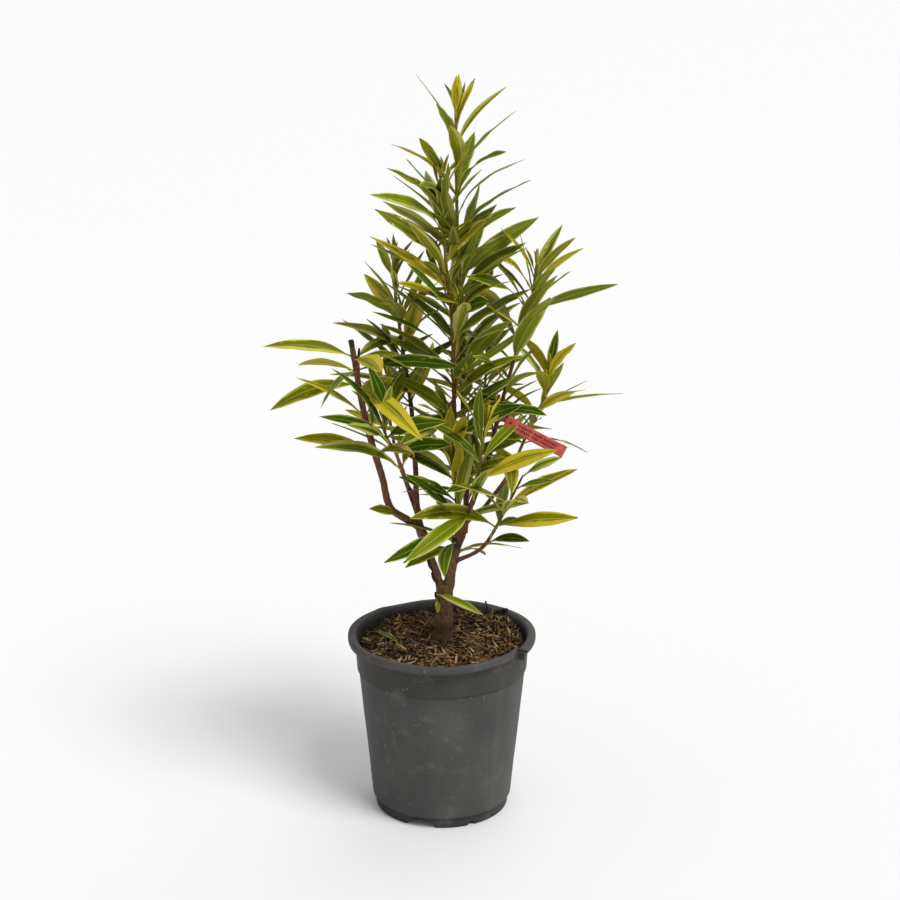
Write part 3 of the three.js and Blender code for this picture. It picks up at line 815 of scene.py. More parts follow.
def leafColumns(draw, t, halfWidth, golden):
    # across positions from 1 to -1 on top and back below: margin, edge of the cream, edge of the wash, mid
    # blade, rib
    shape = (len(halfWidth), len(t))
    ends = 0.25 * (1 - ramp01(t, 0, 0.25)) + 0.22 * ramp01(t, 0.8, 1)
    sideShadeAndStreak = []
    rib = np.clip(leafRule["ribHalf"] / halfWidth, 0.04, 0.14)[:, None] + np.zeros(shape)
    each = (shape[0], 1)
    for side in range(2):
        cream = draw.uniform(0.1, 0.25, each) + golden[:, side, None] * draw.uniform(0.35, 0.62, each)
        edge = 1 - np.clip(cream + ends + raggedEdge(draw, shape, 0.1, leafRule["ragged"]), 0.05, 0.78)
        band = draw.uniform(0.05, 0.3, each) + raggedEdge(draw, shape, 0.15, leafRule["ragged"])
        wash = np.maximum(edge - np.clip(band, 0.03, 0.5), rib + 0.06)
        edge = np.maximum(edge, wash + 0.02)
        sideShadeAndStreak.append([edge, wash, (wash + rib) / 2, rib])
    one = np.ones(shape)
    zero = np.zeros(shape)
    left, right = sideShadeAndStreak
    top = [one, *left, zero, *[-column for column in right[::-1]], -one]
    below = [-right[0], -(right[0] + right[3]) / 2, -right[3], zero]
    below += [left[3], (left[0] + left[3]) / 2, left[0]]
    return np.stack(top, axis=-1), np.stack(below, axis=-1)


def leafRings(foot, heading, rise, reach, halfWidth, lean, folded, golden, draw):
    # middle line: foot + along·reach·t + up·arch·sin(πt) + across·sway·sin(πt).
    # half width: W·c·s^a·(1 - s)^b, with s counted from the end of the leaf stalk.
    # across the blade, at x from -1 to 1: half width·(x·across + (fold·|x| - curl·x²)·face), less the thickness
    # below
    count = len(reach)
    rule = leafRule
    t = (1 - np.cos(np.linspace(0, np.pi, rule["rows"]))) / 2
    t = 0.5 * t + 0.5 * np.linspace(0, 1, rule["rows"])
    along, up, across = leafAxes(heading, rise)
    bow = np.sin(np.pi * t ** 0.85)[None, :, None]
    arch = draw.uniform(*rule["arch"], count) * np.where(folded, 0.3, 1)
    sway = draw.normal(0, rule["sway"], count)
    middle = foot[:, None] + along[:, None] * (reach[:, None] * t)[..., None]
    middle = middle + (up * (arch * reach)[:, None] + across * (sway * reach)[:, None])[:, None] * bow
    tangent = unit(np.gradient(middle, axis=1))
    flat = unit(across[:, None] - tangent * dot(across[:, None], tangent))
    face = np.cross(tangent, flat)
    roll = np.radians(lean * np.sign(across[:, 1]))[:, None]  # turns the face towards -Y
    roll = roll + np.radians(draw.normal(0, rule["twist"], count))[:, None] * (t - 0.3)
    turned = flat * np.cos(roll)[..., None] + face * np.sin(roll)[..., None]
    face = face * np.cos(roll)[..., None] - flat * np.sin(roll)[..., None]
    stalk = np.minimum(rule["petiole"] / reach, 0.2)[:, None]
    s = np.clip((t - stalk) / (1 - stalk), 0, 1)
    a, b = rule["widest"]
    peak = (a / (a + b)) ** a * (b / (a + b)) ** b
    outline = s**a * (1 - s) ** b / peak * (1 + raggedEdge(draw, s.shape, 0.035, 0.008))
    wide = halfWidth[:, None] * outline
    thin = np.minimum(rule["petioleHalf"], 0.16 * halfWidth)[:, None] * (1 - s)
    half = np.sqrt(wide**2 + thin**2) + 0.05
    top, below = leafColumns(draw, t, halfWidth, golden)
    fold = draw.uniform(*rule["fold"], count) + np.where(folded, rosette["fold"], 0)
    fold = np.radians(fold)[:, None, None]
    curl = rule["curl"] * draw.uniform(0.3, 1.6, count)[:, None, None]
    wave = rule["ripple"] * draw.uniform(0, 2, count)[:, None, None]
    phase = draw.uniform(0, 6.3, (count, 1, 2)) + t[None, :, None] * draw.uniform(9, 22, (count, 1, 2))

    def place(x):
        ripple = wave * x**2 * np.where(x > 0, np.sin(phase[..., :1]), np.sin(phase[..., 1:]))
        lift = half[..., None] * (np.sin(fold) * np.abs(x) - curl * x**2 + ripple)
        out = half[..., None] * x * np.cos(fold * np.abs(x))
        return out, lift

    outTop, liftTop = place(top)
    outLow, liftLow = place(below)
    solid = ramp01(half, 0.1, 1.6)[..., None]
    thick = rule["thickness"] + (rule["petioleThick"] - rule["thickness"]) * (1 - ramp01(s, 0.0, 0.12))
    thick = thick[..., None] * solid
    liftTop = liftTop - rule["channel"] * solid * np.exp(-((outTop / 0.7) ** 2)) * (np.abs(top) < 0.2)
    ribHang = rule["ribDepth"] * solid * np.exp(-((outLow / 0.6) ** 2)) * (1 - 0.7 * s)[..., None]
    liftLow = liftLow - thick * (1 - below**4) - ribHang
    out = np.concatenate([outTop, outLow], axis=-1)[..., None]
    lift = np.concatenate([liftTop, liftLow], axis=-1)[..., None]
    rings = middle[:, :, None] + turned[:, :, None] * out + face[:, :, None] * lift
    columns = np.concatenate([top, below], axis=-1)
    uv = np.stack([(columns + 1) / 2, np.broadcast_to(t[None, :, None], columns.shape)], axis=-1)
    return rings, uv


def leafPaintOf(palette, draw, dry, scorched):
    # a paint for every quad: the part that its strip belongs to, with streaks where wash and blade trade
    # places. a scorched leaf has a dead patch along its left margin
    count = len(palette)
    rows = leafRule["rows"] - 1
    strips = np.array([leafParts.index(part) for part in topParts + lowParts])
    parts = np.broadcast_to(strips, (count, rows, len(strips))).copy()
    trade = raggedEdge(draw, (count * 4, rows), 0.8, 0.08).reshape(count, rows, 4)
    margin, wash, blade = (leafParts.index(part) for part in ("margin", "wash", "blade"))
    for strip, noise in zip((1, 2, 7, 8), range(4)):
        swap = trade[..., noise] > (0.42 if strip in (1, 8) else 0.62)
        other = blade if strip in (1, 8) else wash
        parts[..., strip] = np.where(swap, other, parts[..., strip])
    for strip, noise in ((1, 0), (8, 3)):
        parts[..., strip] = np.where(trade[..., noise] < -0.62, margin, parts[..., strip])
    paint = parts + np.array(palette)[:, None, None] * len(leafParts)
    dead = len(leafParts) * len(palettes)
    paint[:, -2:][dry] = dead
    for strip, (first, last) in enumerate(leafRule["scorch"]):
        paint[scorched, first:last, strip] = dead
    return paint


def addLeaves(name, leaves, feet, draw, paints, replaces=()):
    # all leaves of one mass, joined
    columns = (np.array([leaf[k] for leaf in leaves], float) for k in range(1, 6))
    heading, rise, reach, halfWidth, roll = columns
    palette = [paletteNames.index(leaf[6]) for leaf in leaves]
    gold = np.array([leaf[7] for leaf in leaves])[:, None]
    folded = np.array([leaf[8] for leaf in leaves])
    golden = ((gold == np.array([1, -1])) | (gold == 2)).astype(float)
    rings, uv = leafRings(feet, heading, rise, reach, halfWidth, roll, folded, golden, draw)
    count, rows, around = rings.shape[:3]
    dry = draw.uniform(size=count) < leafRule["dryTips"]
    paint = leafPaintOf(palette, draw, dry, gold[:, 0] == 3)
    caps = np.array(palette) * len(leafParts) + leafParts.index("rib")
    tips = np.where(dry, len(leafParts) * len(palettes), caps)
    facePaint = np.concatenate([paint.ravel(), caps, tips])
    margin = np.zeros((count, rows, around), bool)
    margin[..., [0, len(topParts)]] = True
    young = any(part in name for part in ("tip", "upper", "leader_middle"))
    slot = "young_foliage" if young else "foliage"
    return addPiece(name, rings.reshape(-1, 3), *ringFaces(count, rows, around), paints, facePaint,
                    replaces=replaces, slot=slot, uv=uv.reshape(-1, 2), sharp=margin.ravel())


def footOf(stem, leaf):
    # a leaf starts just inside its stem's bark
    middle = stemPoint(stem, leaf[0])
    share = ramp01(leaf[0], stems[stem]["route"][0][2], stems[stem]["route"][-1][2])
    radius = mix(stems[stem]["radii"], share)
    h = math.radians(leaf[1])
    return middle + 0.75 * radius * np.array([math.cos(h), math.sin(h), 0])


def makeFoliage():
    paints = makeLeafPaints()
    draw = np.random.default_rng(41)
    tips = {}  # the mass that each shoot's tip belongs to
    for name, mass in masses.items():
        stem = stems[mass["stem"]]
        if stem["end"] == "shoot" and mass["high"] > stem["route"][-1][2] - 30:
            tips[mass["stem"]] = name
    twigs = []
    total = 0
    for name, mass in masses.items():
        stem = mass["stem"]
        leaves = leavesOf(mass, draw)
        feet = [footOf(stem, leaf) for leaf in leaves]
        if tips.get(stem) == name:
            tuft = rosetteOf(stem, draw)
            leaves += tuft
            feet += [footOf(stem, leaf) for leaf in tuft]
        for leaf in leavesOf(mass, draw)[len(mass.get("own", [])):]:
            if (draw.uniform() < sideTwig["chance"] and stems[stem]["end"] == "shoot"
                    and leaf[0] < stems[stem]["route"][-1][2] - 50):
                twig, tuft, tuftFeet = growTwig(footOf(stem, leaf), leaf[1] + 20, draw)
                twigs.append(twig)
                leaves += tuft
                feet += tuftFeet
        addLeaves(name + "_leaves", leaves, np.array(feet), draw, paints, [name + "_foliage"])
        total += len(leaves)
    bark = bpy.data.materials["barkPaint"]
    points, corners, sizes = joinFaces(twigs)
    addPiece("side_twigs", points, corners, sizes, [bark], slot="stem_bark",
             values={"age": np.full(len(points), 0.18)})
    print("foliage done:", total, "leaves,", len(twigs), "side twigs")
    return paints


def growTwig(foot, heading, draw):
    # a short side shoot from a leaf's axil, with a whorl of small leaves at its tip
    rise = draw.uniform(*sideTwig["rise"])
    length = draw.uniform(*sideTwig["length"])
    along = leafAxes(np.array([heading]), np.array([rise]))[0][0]
    tip = foot + along * length + np.array([0, 0, 0.12 * length])
    path = smoothRoute([foot - along * 1.5, foot + along * length / 2, tip], 1.5)
    radius = np.linspace(sideTwig["radius"], 0.7, len(path))[:, None]
    twig = tubePart(path, radius, 8, hiddenEnd, [(0.6, 0.3), (0.1, 0.5)])
    leaves = []
    for k in range(5):
        upright = k > 2
        reach = draw.uniform(*sideTwig["reach"]) * (0.5 if upright else 1)
        leafRise = draw.uniform(62, 84) if upright else draw.uniform(18, 50)
        palette = ["young", "olive", "fresh"][draw.integers(0, 3)]
        turn = k * 120 + 40 * upright + draw.uniform(-15, 15)
        roll = draw.normal(0, leafRule["roll"])
        leaves.append([tip[2], turn, leafRise, reach, 0.088 * reach + 0.6, roll, palette, 0, upright])
    return twig, leaves, [tip - along for _ in leaves]


# pot

pot = {
    "height": 195, "rimRadius": 100, "rimHeight": 8, "wall": 2.2,
    "collarRadius": 92, "collarBottom": 157, "collarStep": 1.7, "shoulderRadius": 89, "bodyRadius": 75,
    "footRadius": 71.6, "footHeight": 11.5, "footWall": 3,
    "channelHeight": 10, "discRadius": 32, "floorThickness": 2.5,
    "segments": 240, "rowSpacing": 2.6, "cornerReach": 0.9,
    "outOfRound": [(2, 0.7, 0.6), (3, 0.45, 2), (7, 0.3, 0)],  # lobes, amount and start of each wave
    "rimWaves": [(2, 0.6, 1.1), (5, 0.4, 0)],
}
# arched drain notches in the foot: heading, width, height
notches = [*[(heading, 23, 9.6) for heading in (10, 64, 120, 172)], (252, 33, 10.4), (296, 8, 5)]
crack = {  # split in the rim, and the lip beside it that is turned up
    "heading": -31, "width": 4.6, "depth": 12,
    "hinge": 92, "above": 186, "bend": 0.8, "lift": 0.9, "length": 28,
}
dent = {"heading": 117, "width": 13, "depth": 1.1, "corner": 134, "cornerWidth": 6, "rise": 0.9}


def innerRadius(z):
    low = pot["footHeight"] + 1
    slope = (pot["shoulderRadius"] - pot["bodyRadius"]) / (pot["collarBottom"] - low)
    body = pot["bodyRadius"] + slope * (z - low)
    share = np.clip((z - pot["collarBottom"]) / (pot["height"] - 4 - pot["collarBottom"]), 0, 1)
    collar = mix((pot["shoulderRadius"], pot["collarRadius"]), share)
    return np.where(z <= pot["collarBottom"], body, collar) - pot["wall"]


def roundedProfile(corners, reach, spacing):
    # each corner becomes a short arc, (1-u)²·a + 2u(1-u)·corner + u²·b, and long spans are cut into even
    # steps
    p = np.array(corners, float)
    before, after = p[:-2] - p[1:-1], p[2:] - p[1:-1]
    lengthBefore = np.linalg.norm(before, axis=1, keepdims=True)
    lengthAfter = np.linalg.norm(after, axis=1, keepdims=True)
    a = p[1:-1] + before * np.minimum(reach / lengthBefore, 0.45)
    b = p[1:-1] + after * np.minimum(reach / lengthAfter, 0.45)
    u = np.linspace(0, 1, 5)[None, :, None]
    arcs = (1 - u) ** 2 * a[:, None] + 2 * u * (1 - u) * p[1:-1][:, None] + u**2 * b[:, None]
    line = np.concatenate([p[:1], arcs.reshape(-1, 2), p[-1:]])
    length = routeLength(line)
    even = np.arange(spacing, length[-1], spacing)
    clear = np.abs(even[:, None] - length[None]).min(axis=1) > 0.4 * spacing
    places = np.sort(np.concatenate([length, even[clear]]))
    return np.stack([np.interp(places, length, line[:, axis]) for axis in range(2)], axis=-1)


def potProfile():
    p = pot
    ringInner = p["footRadius"] - p["footWall"]
    rimFoot = p["height"] - p["rimHeight"]
    floor = p["channelHeight"] + p["floorThickness"]
    corners = [
        (0.6, 0.4), (p["discRadius"], 0.4), (p["discRadius"] + 4, p["channelHeight"]),
        (ringInner - 2, p["channelHeight"]), (ringInner, 0), (p["footRadius"], 0),
        (p["footRadius"] + 0.4, p["footHeight"]), (p["bodyRadius"], p["footHeight"] + 1),
        (p["shoulderRadius"], p["collarBottom"]),
        (p["shoulderRadius"] + p["collarStep"], p["collarBottom"] + 0.2),
        (p["shoulderRadius"] + p["collarStep"] + 0.1, p["collarBottom"] + 3),
        (p["collarRadius"], rimFoot - 1),
        (p["rimRadius"] - 1.4, rimFoot - 0.4), (p["rimRadius"], rimFoot + 1.4),
        (p["rimRadius"] - 0.2, p["height"] - 2), (p["rimRadius"] - 2.2, p["height"]),
        (p["rimRadius"] - 6.6, p["height"] - 0.2), (p["collarRadius"] - p["wall"] + 1.2, p["height"] - 2),
        (p["collarRadius"] - p["wall"], p["height"] - 6),
        (innerRadius(p["collarBottom"]), p["collarBottom"]), (innerRadius(floor + 4), floor + 4),
        (ringInner - 1, floor), (p["discRadius"] + 6, floor), (p["discRadius"] + 2, p["floorThickness"]),
        (0.6, p["floorThickness"]),
    ]
    return roundedProfile([(float(r), float(z)) for r, z in corners], p["cornerReach"], p["rowSpacing"])


def turnFrom(theta, heading):
    # the turn from a heading to theta, from -pi to pi
    return (theta - math.radians(heading) + np.pi) % (2 * np.pi) - np.pi


def wavesRound(theta, parts):
    # the sum of amount·sin(lobes·theta + start)
    return sum(amount * np.sin(lobes * theta + start) for lobes, amount, start in parts)


def potRings():
    # radius and height of the profile all round, then the foot lifted over each drain arch, height·(1 -
    # away²)^0.7, the rim pressed down in the split, the lip in front of the split turned up,
    # lift·over·exp(arc/length), and the wall a little out of round towards the top
    p = pot
    profile = potProfile()
    extra = math.radians(crack["heading"]) + np.linspace(-0.05, 0.05, 17)
    even = np.linspace(0, 2 * np.pi, p["segments"], endpoint=False)
    theta = np.sort(np.concatenate([even, extra % (2 * np.pi)]))
    r = np.repeat(profile[:, :1], len(theta), axis=1)
    z = np.repeat(profile[:, 1:], len(theta), axis=1)
    wall = r > p["discRadius"] + 10
    for heading, width, tall in notches:
        away = np.clip(np.abs(turnFrom(theta, heading)) * p["footRadius"] / (width / 2), 0, 1)
        lift = tall * (1 - away**2) ** 0.7
        z = np.where(wall & (z < p["channelHeight"]), lift + z * (1 - lift / p["channelHeight"]), z)
    arc = turnFrom(theta, crack["heading"]) * p["rimRadius"]
    floor = p["height"] - crack["depth"]
    split = np.clip(1 - np.abs(arc) / (crack["width"] / 2), 0, 1) ** 0.35
    fade = np.where(arc < 0, np.exp(arc / crack["length"]), 0)
    over = np.clip(r - crack["hinge"], 0, None) * (z > crack["above"]) * fade
    z = np.where(z > floor, floor + (z - floor) * (1 - 0.94 * split), z)
    r = r - crack["bend"] * over
    z = z + crack["lift"] * over * (1 - split)
    high = ramp01(z, 40, p["height"])
    flat = np.exp(-(((np.degrees(theta) - dent["heading"]) / dent["width"]) ** 2))
    corner = np.exp(-(((np.degrees(theta) - dent["corner"]) / dent["cornerWidth"]) ** 2))
    r = r - high**3 * dent["depth"] * flat
    z = z + high**6 * (dent["rise"] * corner - 0.5 * dent["depth"] * flat)
    r = r + high * wavesRound(theta, p["outOfRound"])
    spot = np.stack([np.cos(theta) * 60 + 0 * z, np.sin(theta) * 60 + 0 * z, z], -1)
    r = r + 0.25 * ramp01(z, 14, 40) * waves(spot, 70, 3)
    z = z + ramp01(z, 150, p["height"]) * wavesRound(theta, p["rimWaves"])
    return np.stack([r * np.cos(theta), r * np.sin(theta), z], axis=-1)


def makePotPaint():
    # dark grey moulded plastic with broad smudges, fine marks round it, a few pale scuffs, a pale streak down
    # one side and a soil-stained upper wall, with painted shade on the left side, the foot, the groove under
    # the collar and the collar, and a painted highlight on the rim top; heading = atan2(y, x)
    material, tree, shader = newPaint("potPaint", (0, 0, 0, 1), 0.58, 0.2)
    smudge = objectNoise(tree, 22, (1, 1, 0.6), 5.0)
    color = addRamp(tree, smudge, [
        (0.32, tone(69, 69, 68)), (0.5, tone(75, 75, 73)), (0.68, tone(83, 82, 79))])
    marks = addRamp(tree, objectNoise(tree, 260, (0.14, 0.14, 2.4), 5.0), [
        (0.3, grey(0.97)), (0.55, grey(1)), (0.74, (1.06, 1.06, 1.05, 1)), (0.8, (1.3, 1.3, 1.27, 1))])
    place = objectPlace(tree)
    # painted shade and highlight by height: the foot ring darker where it meets the floor, a painted shadow
    # line in the groove under the collar, painted shade over the collar under the rim, and a painted highlight
    # along the top of the rim
    paintedShadeAndHighlight = addRamp(tree, addMath(tree, "MULTIPLY", place["Z"], 5.0), [
        (0.0, grey(0.54)), (0.058, grey(0.64)), (0.066, grey(1)), (0.776, grey(1)), (0.782, grey(0.4)),
        (0.79, (0.74, 0.74, 0.72, 1)), (0.93, (0.7, 0.69, 0.66, 1)), (0.95, (1.06, 1.06, 1.04, 1))])
    # painted shade: the left side of the pot, turned away from the key lamp, is darkened; a narrow pale streak
    # runs down the front right at heading -45°
    heading = addMath(tree, "ARCTAN2", place["Y"], place["X"])
    sideShadeAndStreak = addRamp(tree, addRange(tree, heading, -math.pi, math.pi), [
        (0.0, (0.72, 0.72, 0.73, 1)), (0.14, (0.78, 0.78, 0.79, 1)), (0.22, grey(1)), (0.36, grey(1)),
        (0.374, (1.16, 1.16, 1.15, 1)), (0.388, grey(1)), (0.9, grey(1)), (1.0, (0.72, 0.72, 0.73, 1))])
    for layer in (marks, paintedShadeAndHighlight, sideShadeAndStreak):
        color = mixColor(tree, "MULTIPLY", color, layer)
    dirt = addRamp(tree, objectNoise(tree, 38, detail=5.0), [(0.45, grey(0)), (0.7, grey(0.5))])
    upperDirt = addMath(tree, "MULTIPLY", addRange(tree, place["Z"], 0.150, 0.192), dirt)
    scuffs = addRamp(tree, objectNoise(tree, 150, (1, 1, 1.6), 7.0), [(0.66, grey(0)), (0.73, grey(0.5))])
    blurs = addRamp(tree, objectNoise(tree, 48, detail=9.0), [(0.58, grey(0)), (0.72, grey(0.3))])
    covers = [(upperDirt, tone(78, 70, 58)), (blurs, tone(112, 112, 108)), (scuffs, tone(118, 118, 114))]
    for factor, over in covers:
        color = mixColor(tree, "MIX", color, over, factor)
    tree.links.new(color, shader.inputs["Base Color"])
    addBump(tree, shader, objectNoise(tree, 900, detail=3.0), 0.25, 0.15)
    return material


def makePot():
    rings = potRings()
    addPiece("pot_shell", rings.reshape(-1, 3), *ringFaces(1, *rings.shape[:2]), [makePotPaint()],
             replaces=["pot"], slot="pot_plastic")
    print("pot done")


# compost and mulch

compost = {"level": 182.4, "tilt": 3, "bump": 1.8, "rows": 96, "segments": 180, "mound": 3.5}
mulch = {
    "count": 4700, "length": (6, 30), "halfWidth": (0.28, 1.25), "halfThick": (0.15, 0.4), "tilt": 15,
    "clods": 900,
}
mulchTones = {  # display colour and share
    "dark": ((36, 27, 16), 0.32), "brown": ((82, 58, 34), 0.2), "tan": ((132, 102, 60), 0.18),
    "straw": ((168, 142, 92), 0.13), "grey": ((98, 90, 74), 0.1), "rust": ((118, 84, 40), 0.05),
    "pale": ((190, 170, 128), 0.02),
}
# patches where more slivers are rust coloured
rusty = {"middles": [(-42, 44), (46, -34)], "spread": 24, "share": 0.4}


def compostHeight(x, y):
    # level, rising to the right and back, heaped at the trunk and uneven
    spot = np.stack([x, y], axis=-1)
    radius = np.hypot(x, y)
    heap = compost["mound"] * np.exp(-((radius / 26) ** 2))
    slope = compost["tilt"] * (x + 0.5 * y) / pot["rimRadius"]
    bumps = compost["bump"] * waves(spot, 34, 9, 4)
    return compost["level"] + slope + heap + bumps - 1.2 * ramp01(radius, 70, 88)


def makeCompost():
    # a plug that fills the pot, from the middle of its floor out, up the wall and in over the uneven top
    floor = pot["floorThickness"] + 0.4
    channel = pot["channelHeight"] + pot["floorThickness"] + 0.4
    theta = np.linspace(0, 2 * np.pi, compost["segments"], endpoint=False)
    wallHeights = np.linspace(channel + 5, compost["level"] - 7, 24)
    wallRadii = innerRadius(wallHeights) - 0.6
    below = [(0.6, floor), (pot["discRadius"] + 1.3, floor), (pot["discRadius"] + 5.6, channel),
             (pot["footRadius"] - pot["footWall"] - 1.6, channel)]
    lowRadius = np.concatenate([[r for r, _ in below], wallRadii])
    lowHeight = np.concatenate([[z for _, z in below], wallHeights])
    topRadius = np.linspace(innerRadius(compost["level"]) - 1.2, 0.6, compost["rows"])
    radius = np.concatenate([lowRadius, topRadius])[:, None]
    x, y = radius * np.cos(theta), radius * np.sin(theta)
    z = np.repeat(np.concatenate([lowHeight, 0 * topRadius])[:, None], len(theta), axis=1)
    top = slice(len(lowRadius), None)
    z[top] = compostHeight(x[top], y[top])
    rings = np.stack([x, y, z], axis=-1)
    material, tree, shader = newPaint("compostPaint", (0, 0, 0, 1), 0.95, 0.15)
    grit = addRamp(tree, objectNoise(tree, 420, detail=8.0), [
        (0.32, tone(22, 16, 11)), (0.5, tone(46, 34, 23)), (0.62, tone(76, 56, 37)),
        (0.75, tone(116, 89, 58))])
    tree.links.new(grit, shader.inputs["Base Color"])
    addBump(tree, shader, objectNoise(tree, 600, detail=6.0), 0.9, 1.2)
    addPiece("compost_plug", rings.reshape(-1, 3), *ringFaces(1, *rings.shape[:2]), [material],
             replaces=["compost"], slot="compost")
    print("compost done")


def scatter(count, draw, inside, outside):
    # places spread evenly over a ring of the compost's top
    radius = np.sqrt(draw.uniform(inside**2, outside**2, count))
    turn = draw.uniform(0, 2 * np.pi, count)
    return radius * np.cos(turn), radius * np.sin(turn)


def makeMulch():
    # slivers of bark and straw: bowed four-sided strips, narrower at both ends, and clods: lumpy balls of
    # six sides
    draw = np.random.default_rng(7)
    count = mulch["count"]
    paints = []
    for name, (color, _) in mulchTones.items():
        paints.append(newPaint("mulch" + name.title(), tone(*color), 0.9, 0.2)[0])
    shares = np.array([share for _, share in mulchTones.values()])
    x, y = scatter(count, draw, 11, 85)
    bank = ramp01(x + 0.3 * y, 45, 85)  # slivers stand against the right-hand wall
    length = mix(mulch["length"], draw.uniform(size=count) ** 1.8)
    wide = draw.uniform(*mulch["halfWidth"], count) * np.clip(length / 14, 0.5, 1.2)
    thick = draw.uniform(*mulch["halfThick"], count)
    heading = draw.uniform(0, 360, count)
    along, up, across = leafAxes(heading, draw.normal(0, 1, count) * (mulch["tilt"] + 18 * bank))
    lean = np.radians(draw.normal(0, 25, count))[:, None]
    across, up = across * np.cos(lean) + up * np.sin(lean), up * np.cos(lean) - across * np.sin(lean)
    t = np.linspace(-0.5, 0.5, 5)
    bow = draw.normal(0, 0.07, count) * length
    pull = np.clip((86.5 - length / 2) / np.maximum(np.hypot(x, y), 1), 0, 1)
    x, y = x * pull, y * pull
    lift = draw.uniform(0.2, 3.4, count) + bank * draw.uniform(0, 6, count)
    middle = np.stack([x, y, compostHeight(x, y) + lift], axis=-1)[:, None]
    middle = middle + along[:, None] * (length[:, None] * t)[..., None]
    middle = middle + across[:, None] * (bow[:, None] * (1 - 4 * t**2))[..., None]
    taper = np.array([0.45, 0.95, 1, 0.9, 0.35])[None, :, None]
    corner = np.array([[1, 1], [-1, 1], [-1, -1], [1, -1]])
    sideways = wide[:, None, None] * taper * corner[:, 0]
    rings = middle[:, :, None] + across[:, None, None] * sideways[..., None]
    rings = rings + up[:, None, None] * (thick[:, None, None] * corner[:, 1] * np.ones((1, 5, 1)))[..., None]
    corners, sizes = ringFaces(count, 5, 4)
    kind = draw.choice(len(shares), count, p=shares / shares.sum())
    for middleX, middleY in rusty["middles"]:
        chance = rusty["share"] * np.exp(-(((x - middleX) ** 2 + (y - middleY) ** 2) / rusty["spread"] ** 2))
        kind = np.where(draw.uniform(size=count) < chance, list(mulchTones).index("rust"), kind)
    facePaint = np.concatenate([np.repeat(kind, 16), kind, kind])
    addPiece("mulch_slivers", rings.reshape(-1, 3), corners, sizes, paints, facePaint, slot="compost",
             smooth=False)
    clods = mulch["clods"]
    x, y = scatter(clods, draw, 10, 85)
    size = draw.uniform(0.8, 2.6, clods)
    polar = np.linspace(0.12, np.pi - 0.12, 5)[::-1]
    turn = np.linspace(0, 2 * np.pi, 6, endpoint=False)
    ball = np.stack([np.outer(np.sin(polar), np.cos(turn)), np.outer(np.sin(polar), np.sin(turn)),
                     np.outer(np.cos(polar), np.ones(6))], axis=-1)
    rough = 1 + 0.22 * draw.normal(size=(clods, 5, 6, 1))
    place = np.stack([x, y, compostHeight(x, y) + 0.6 * size], axis=-1)[:, None, None]
    rings = place + ball * rough * size[:, None, None, None]
    corners, sizes = ringFaces(clods, 5, 6)
    kind = draw.choice(2, clods, p=[0.7, 0.3])
    facePaint = np.concatenate([np.repeat(kind, 24), kind, kind])
    addPiece("compost_clods", rings.reshape(-1, 3), corners, sizes, paints, facePaint, slot="compost")
    print("mulch done")


# plant label

label = {"length": 69, "width": 12.5, "thickness": 0.4, "middle": (96, -24, 418), "slope": -29, "bend": 2.2,
         "hole": 1.7, "holeAt": 4.5, "cells": (44, 8)}
# two rows of plain dashes: height and start of each row, where they end, the gaps, and how often a gap is
# wide
dashRule = {"rows": ((2.1, -21), (-1.7, -22)), "end": 22, "gap": 0.75, "wideGap": 2.6, "wideChance": 0.14}
labelTie = [
    (69, -23.8, 433), (60, -14, 434), (52, 5, 432), (54, 18, 428), (62, 21.5, 427), (68, 12, 429),
    (71, -22, 431),
]


def labelPoint(u, v, out):
    # u along the strip, v across it, out towards the viewer; the strip bows by bend over its length
    slope = math.radians(label["slope"])
    bow = label["bend"] * (1 - (2 * u / label["length"]) ** 2)
    x = u * math.cos(slope) - v * math.sin(slope)
    z = u * math.sin(slope) + v * math.cos(slope)
    return np.stack([x, 0 * u - bow - out + 0.12 * v, z], axis=-1) + np.array(label["middle"])


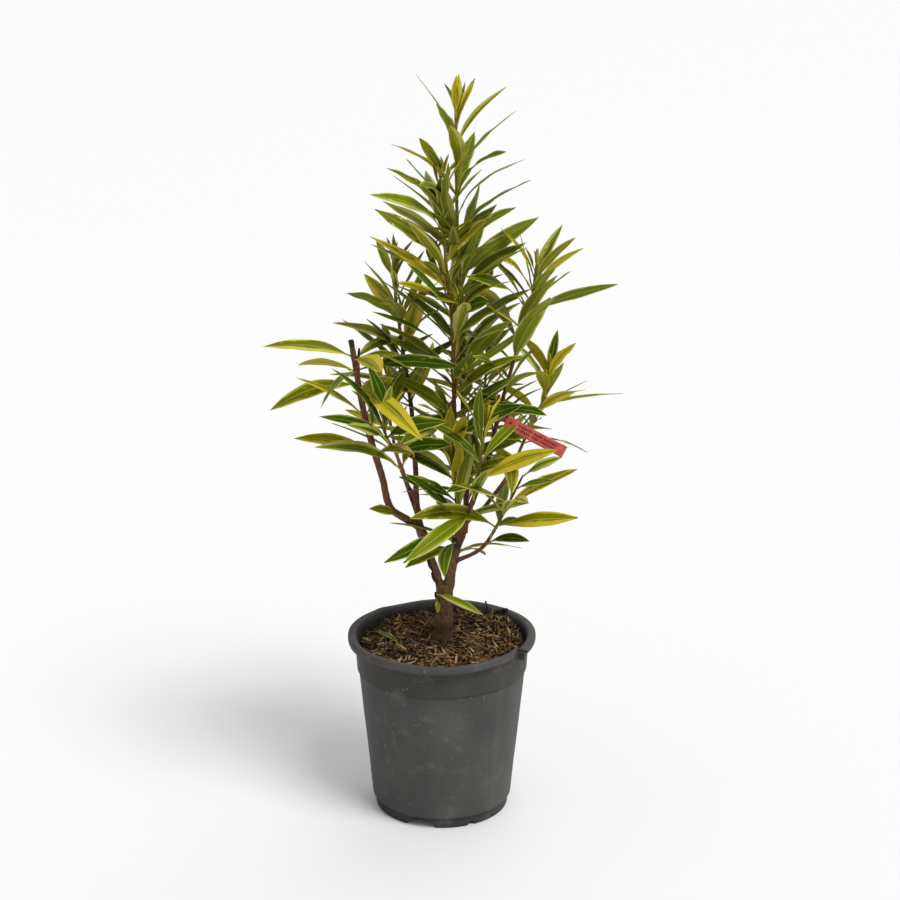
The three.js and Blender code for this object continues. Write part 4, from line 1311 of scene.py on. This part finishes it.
def makeLabel():
    # a grid of cells, less the four round the hole, whose rim is drawn out to a circle
    along, across = label["cells"]
    u = np.linspace(-0.5, 0.5, along + 1) * label["length"]
    v = np.linspace(-0.5, 0.5, across + 1) * label["width"]
    grid = np.stack(np.meshgrid(u, v, indexing="ij"), axis=-1)
    column = int(round(label["holeAt"] / label["length"] * along))
    row = across // 2
    centre = grid[column, row].copy()
    near = grid[column - 1:column + 2, row - 1:row + 2]
    offset = near - centre
    size = np.linalg.norm(offset, axis=-1, keepdims=True)
    near[:] = np.where(size > 0, centre + offset / np.maximum(size, 1e-6) * label["hole"], centre)
    i, j = np.meshgrid(np.arange(along), np.arange(across), indexing="ij")
    keep = ~((np.abs(i + 0.5 - column) < 1) & (np.abs(j + 0.5 - row) < 1))
    corner = (i * (across + 1) + j)[keep]
    quads = np.stack([corner, corner + across + 1, corner + across + 2, corner + 1], axis=-1)
    places = labelPoint(grid[..., 0].ravel(), grid[..., 1].ravel(), 0)
    usedPoint = np.zeros(len(places), int)
    usedPoint[quads.ravel()] = 1
    number = np.cumsum(usedPoint) - 1
    material, tree, shader = newPaint("labelPaint", tone(196, 84, 70), 0.45, 0.5)
    wear = addRamp(tree, objectNoise(tree, 160, detail=5.0), [
        (0.3, tone(176, 66, 54)), (0.55, tone(198, 84, 72)), (0.8, tone(214, 116, 98))])
    tree.links.new(wear, shader.inputs["Base Color"])
    sizes = np.full(len(quads), 4)
    strip = addPiece("label_strip", places[usedPoint > 0], number[quads.ravel()], sizes, [material],
                     replaces=["plant_label"], slot="label_card")
    solidify = strip.modifiers.new("thickness", "SOLIDIFY")
    solidify.thickness = label["thickness"] / metre
    solidify.offset = -1
    draw = np.random.default_rng(3)
    ink = newPaint("labelInk", tone(104, 26, 30), 0.6)[0]
    dashes = []
    for rowAt, place in dashRule["rows"]:
        while place < dashRule["end"]:
            size = draw.uniform(0.9, 2.2)
            dashes.append((place, rowAt + draw.uniform(-0.15, 0.15), size, draw.uniform(0.9, 1.3)))
            wide = draw.uniform() < dashRule["wideChance"]
            place += size + dashRule["wideGap" if wide else "gap"]
    dashes = np.array(dashes)
    start, middle, size, tall = (dashes[:, None, None, k] for k in range(4))
    u = start + size * np.array([0.0, 1.0])[:, None] + np.zeros(4)
    v = middle + tall * np.array([1, -1, -1, 1]) + 0 * u
    out = 0 * u + np.array([0.02, 0.02, 0.1, 0.1])
    rings = labelPoint(u, v, out)
    corners, sizes = ringFaces(len(dashes), 2, 4)
    addPiece("label_print", rings.reshape(-1, 3), corners, sizes, [ink], slot="label_card", smooth=False)
    path = smoothRoute(labelTie, 1.2)
    rings = tubeRings(path, 1, 8)
    shape = path[:, None] + (rings - path[:, None]) * np.array([0.35, 0.35, 2.2])
    rings = closeRings(shape, hiddenEnd, hiddenEnd)
    addPiece("label_tie", rings.reshape(-1, 3), *ringFaces(1, len(rings), 8), [material], slot="label_card")
    print("label done")


# odds and ends: a fallen leaf on the mulch, and scraps of dead leaf and twig on the rim and in its split

scraps = {
    "rim_scrap": {
        "route": [(72, 59, 196.6), (66, 61.5, 195.8), (60, 65, 191), (55, 67.5, 186)],
        "radius": 3.6, "flat": 0.3,
    },
    "rim_twig": {"route": [(49, 72, 186), (49.6, 73, 194), (48.4, 73.6, 201)], "radius": 0.9, "flat": 1},
    "split_stick": {
        "route": [(80, -52.5, 194.5), (84.5, -51, 194), (89.5, -50, 192.6)], "radius": 0.9, "flat": 1,
    },
}


def makeLitter(paints):
    # each scrap is a tube along its route, flat times as thick as it is wide, and roughened by noise
    draw = np.random.default_rng(12)
    x, y = -76.0, 22.0
    foot = np.array([[x, y, compostHeight(x, y) + 6]])
    addLeaves("fallen_leaf", [[0, -48, 1, 44, 3.6, 0, "deep", 0, False]], foot, draw, paints)
    dead = newPaint("deadScrap", tone(48, 36, 26), 0.85, 0.2)[0]
    parts = []
    around = 12
    for scrap in scraps.values():
        path = smoothRoute(scrap["route"], 1)
        rings = tubeRings(path, scrap["radius"], around)
        rings = path[:, None] + (rings - path[:, None]) * np.array([1, 1, scrap["flat"]])
        rough = 0.35 * scrap["radius"] * waves(rings, 7, 8)[..., None]
        rings = rings + rough * unit(rings - path[:, None])
        rings = closeRings(rings, hiddenEnd, hiddenEnd)
        parts.append((rings.reshape(-1, 3), *ringFaces(1, len(rings), around)))
    points, corners, sizes = joinFaces(parts)
    addPiece("rim_scraps", points, corners, sizes, [dead], slot="compost")
    print("litter done")


makeStudio()
makeStems()
leafPaints = makeFoliage()
makePot()
makeCompost()
makeMulch()
makeLabel()
makeLitter(leafPaints)
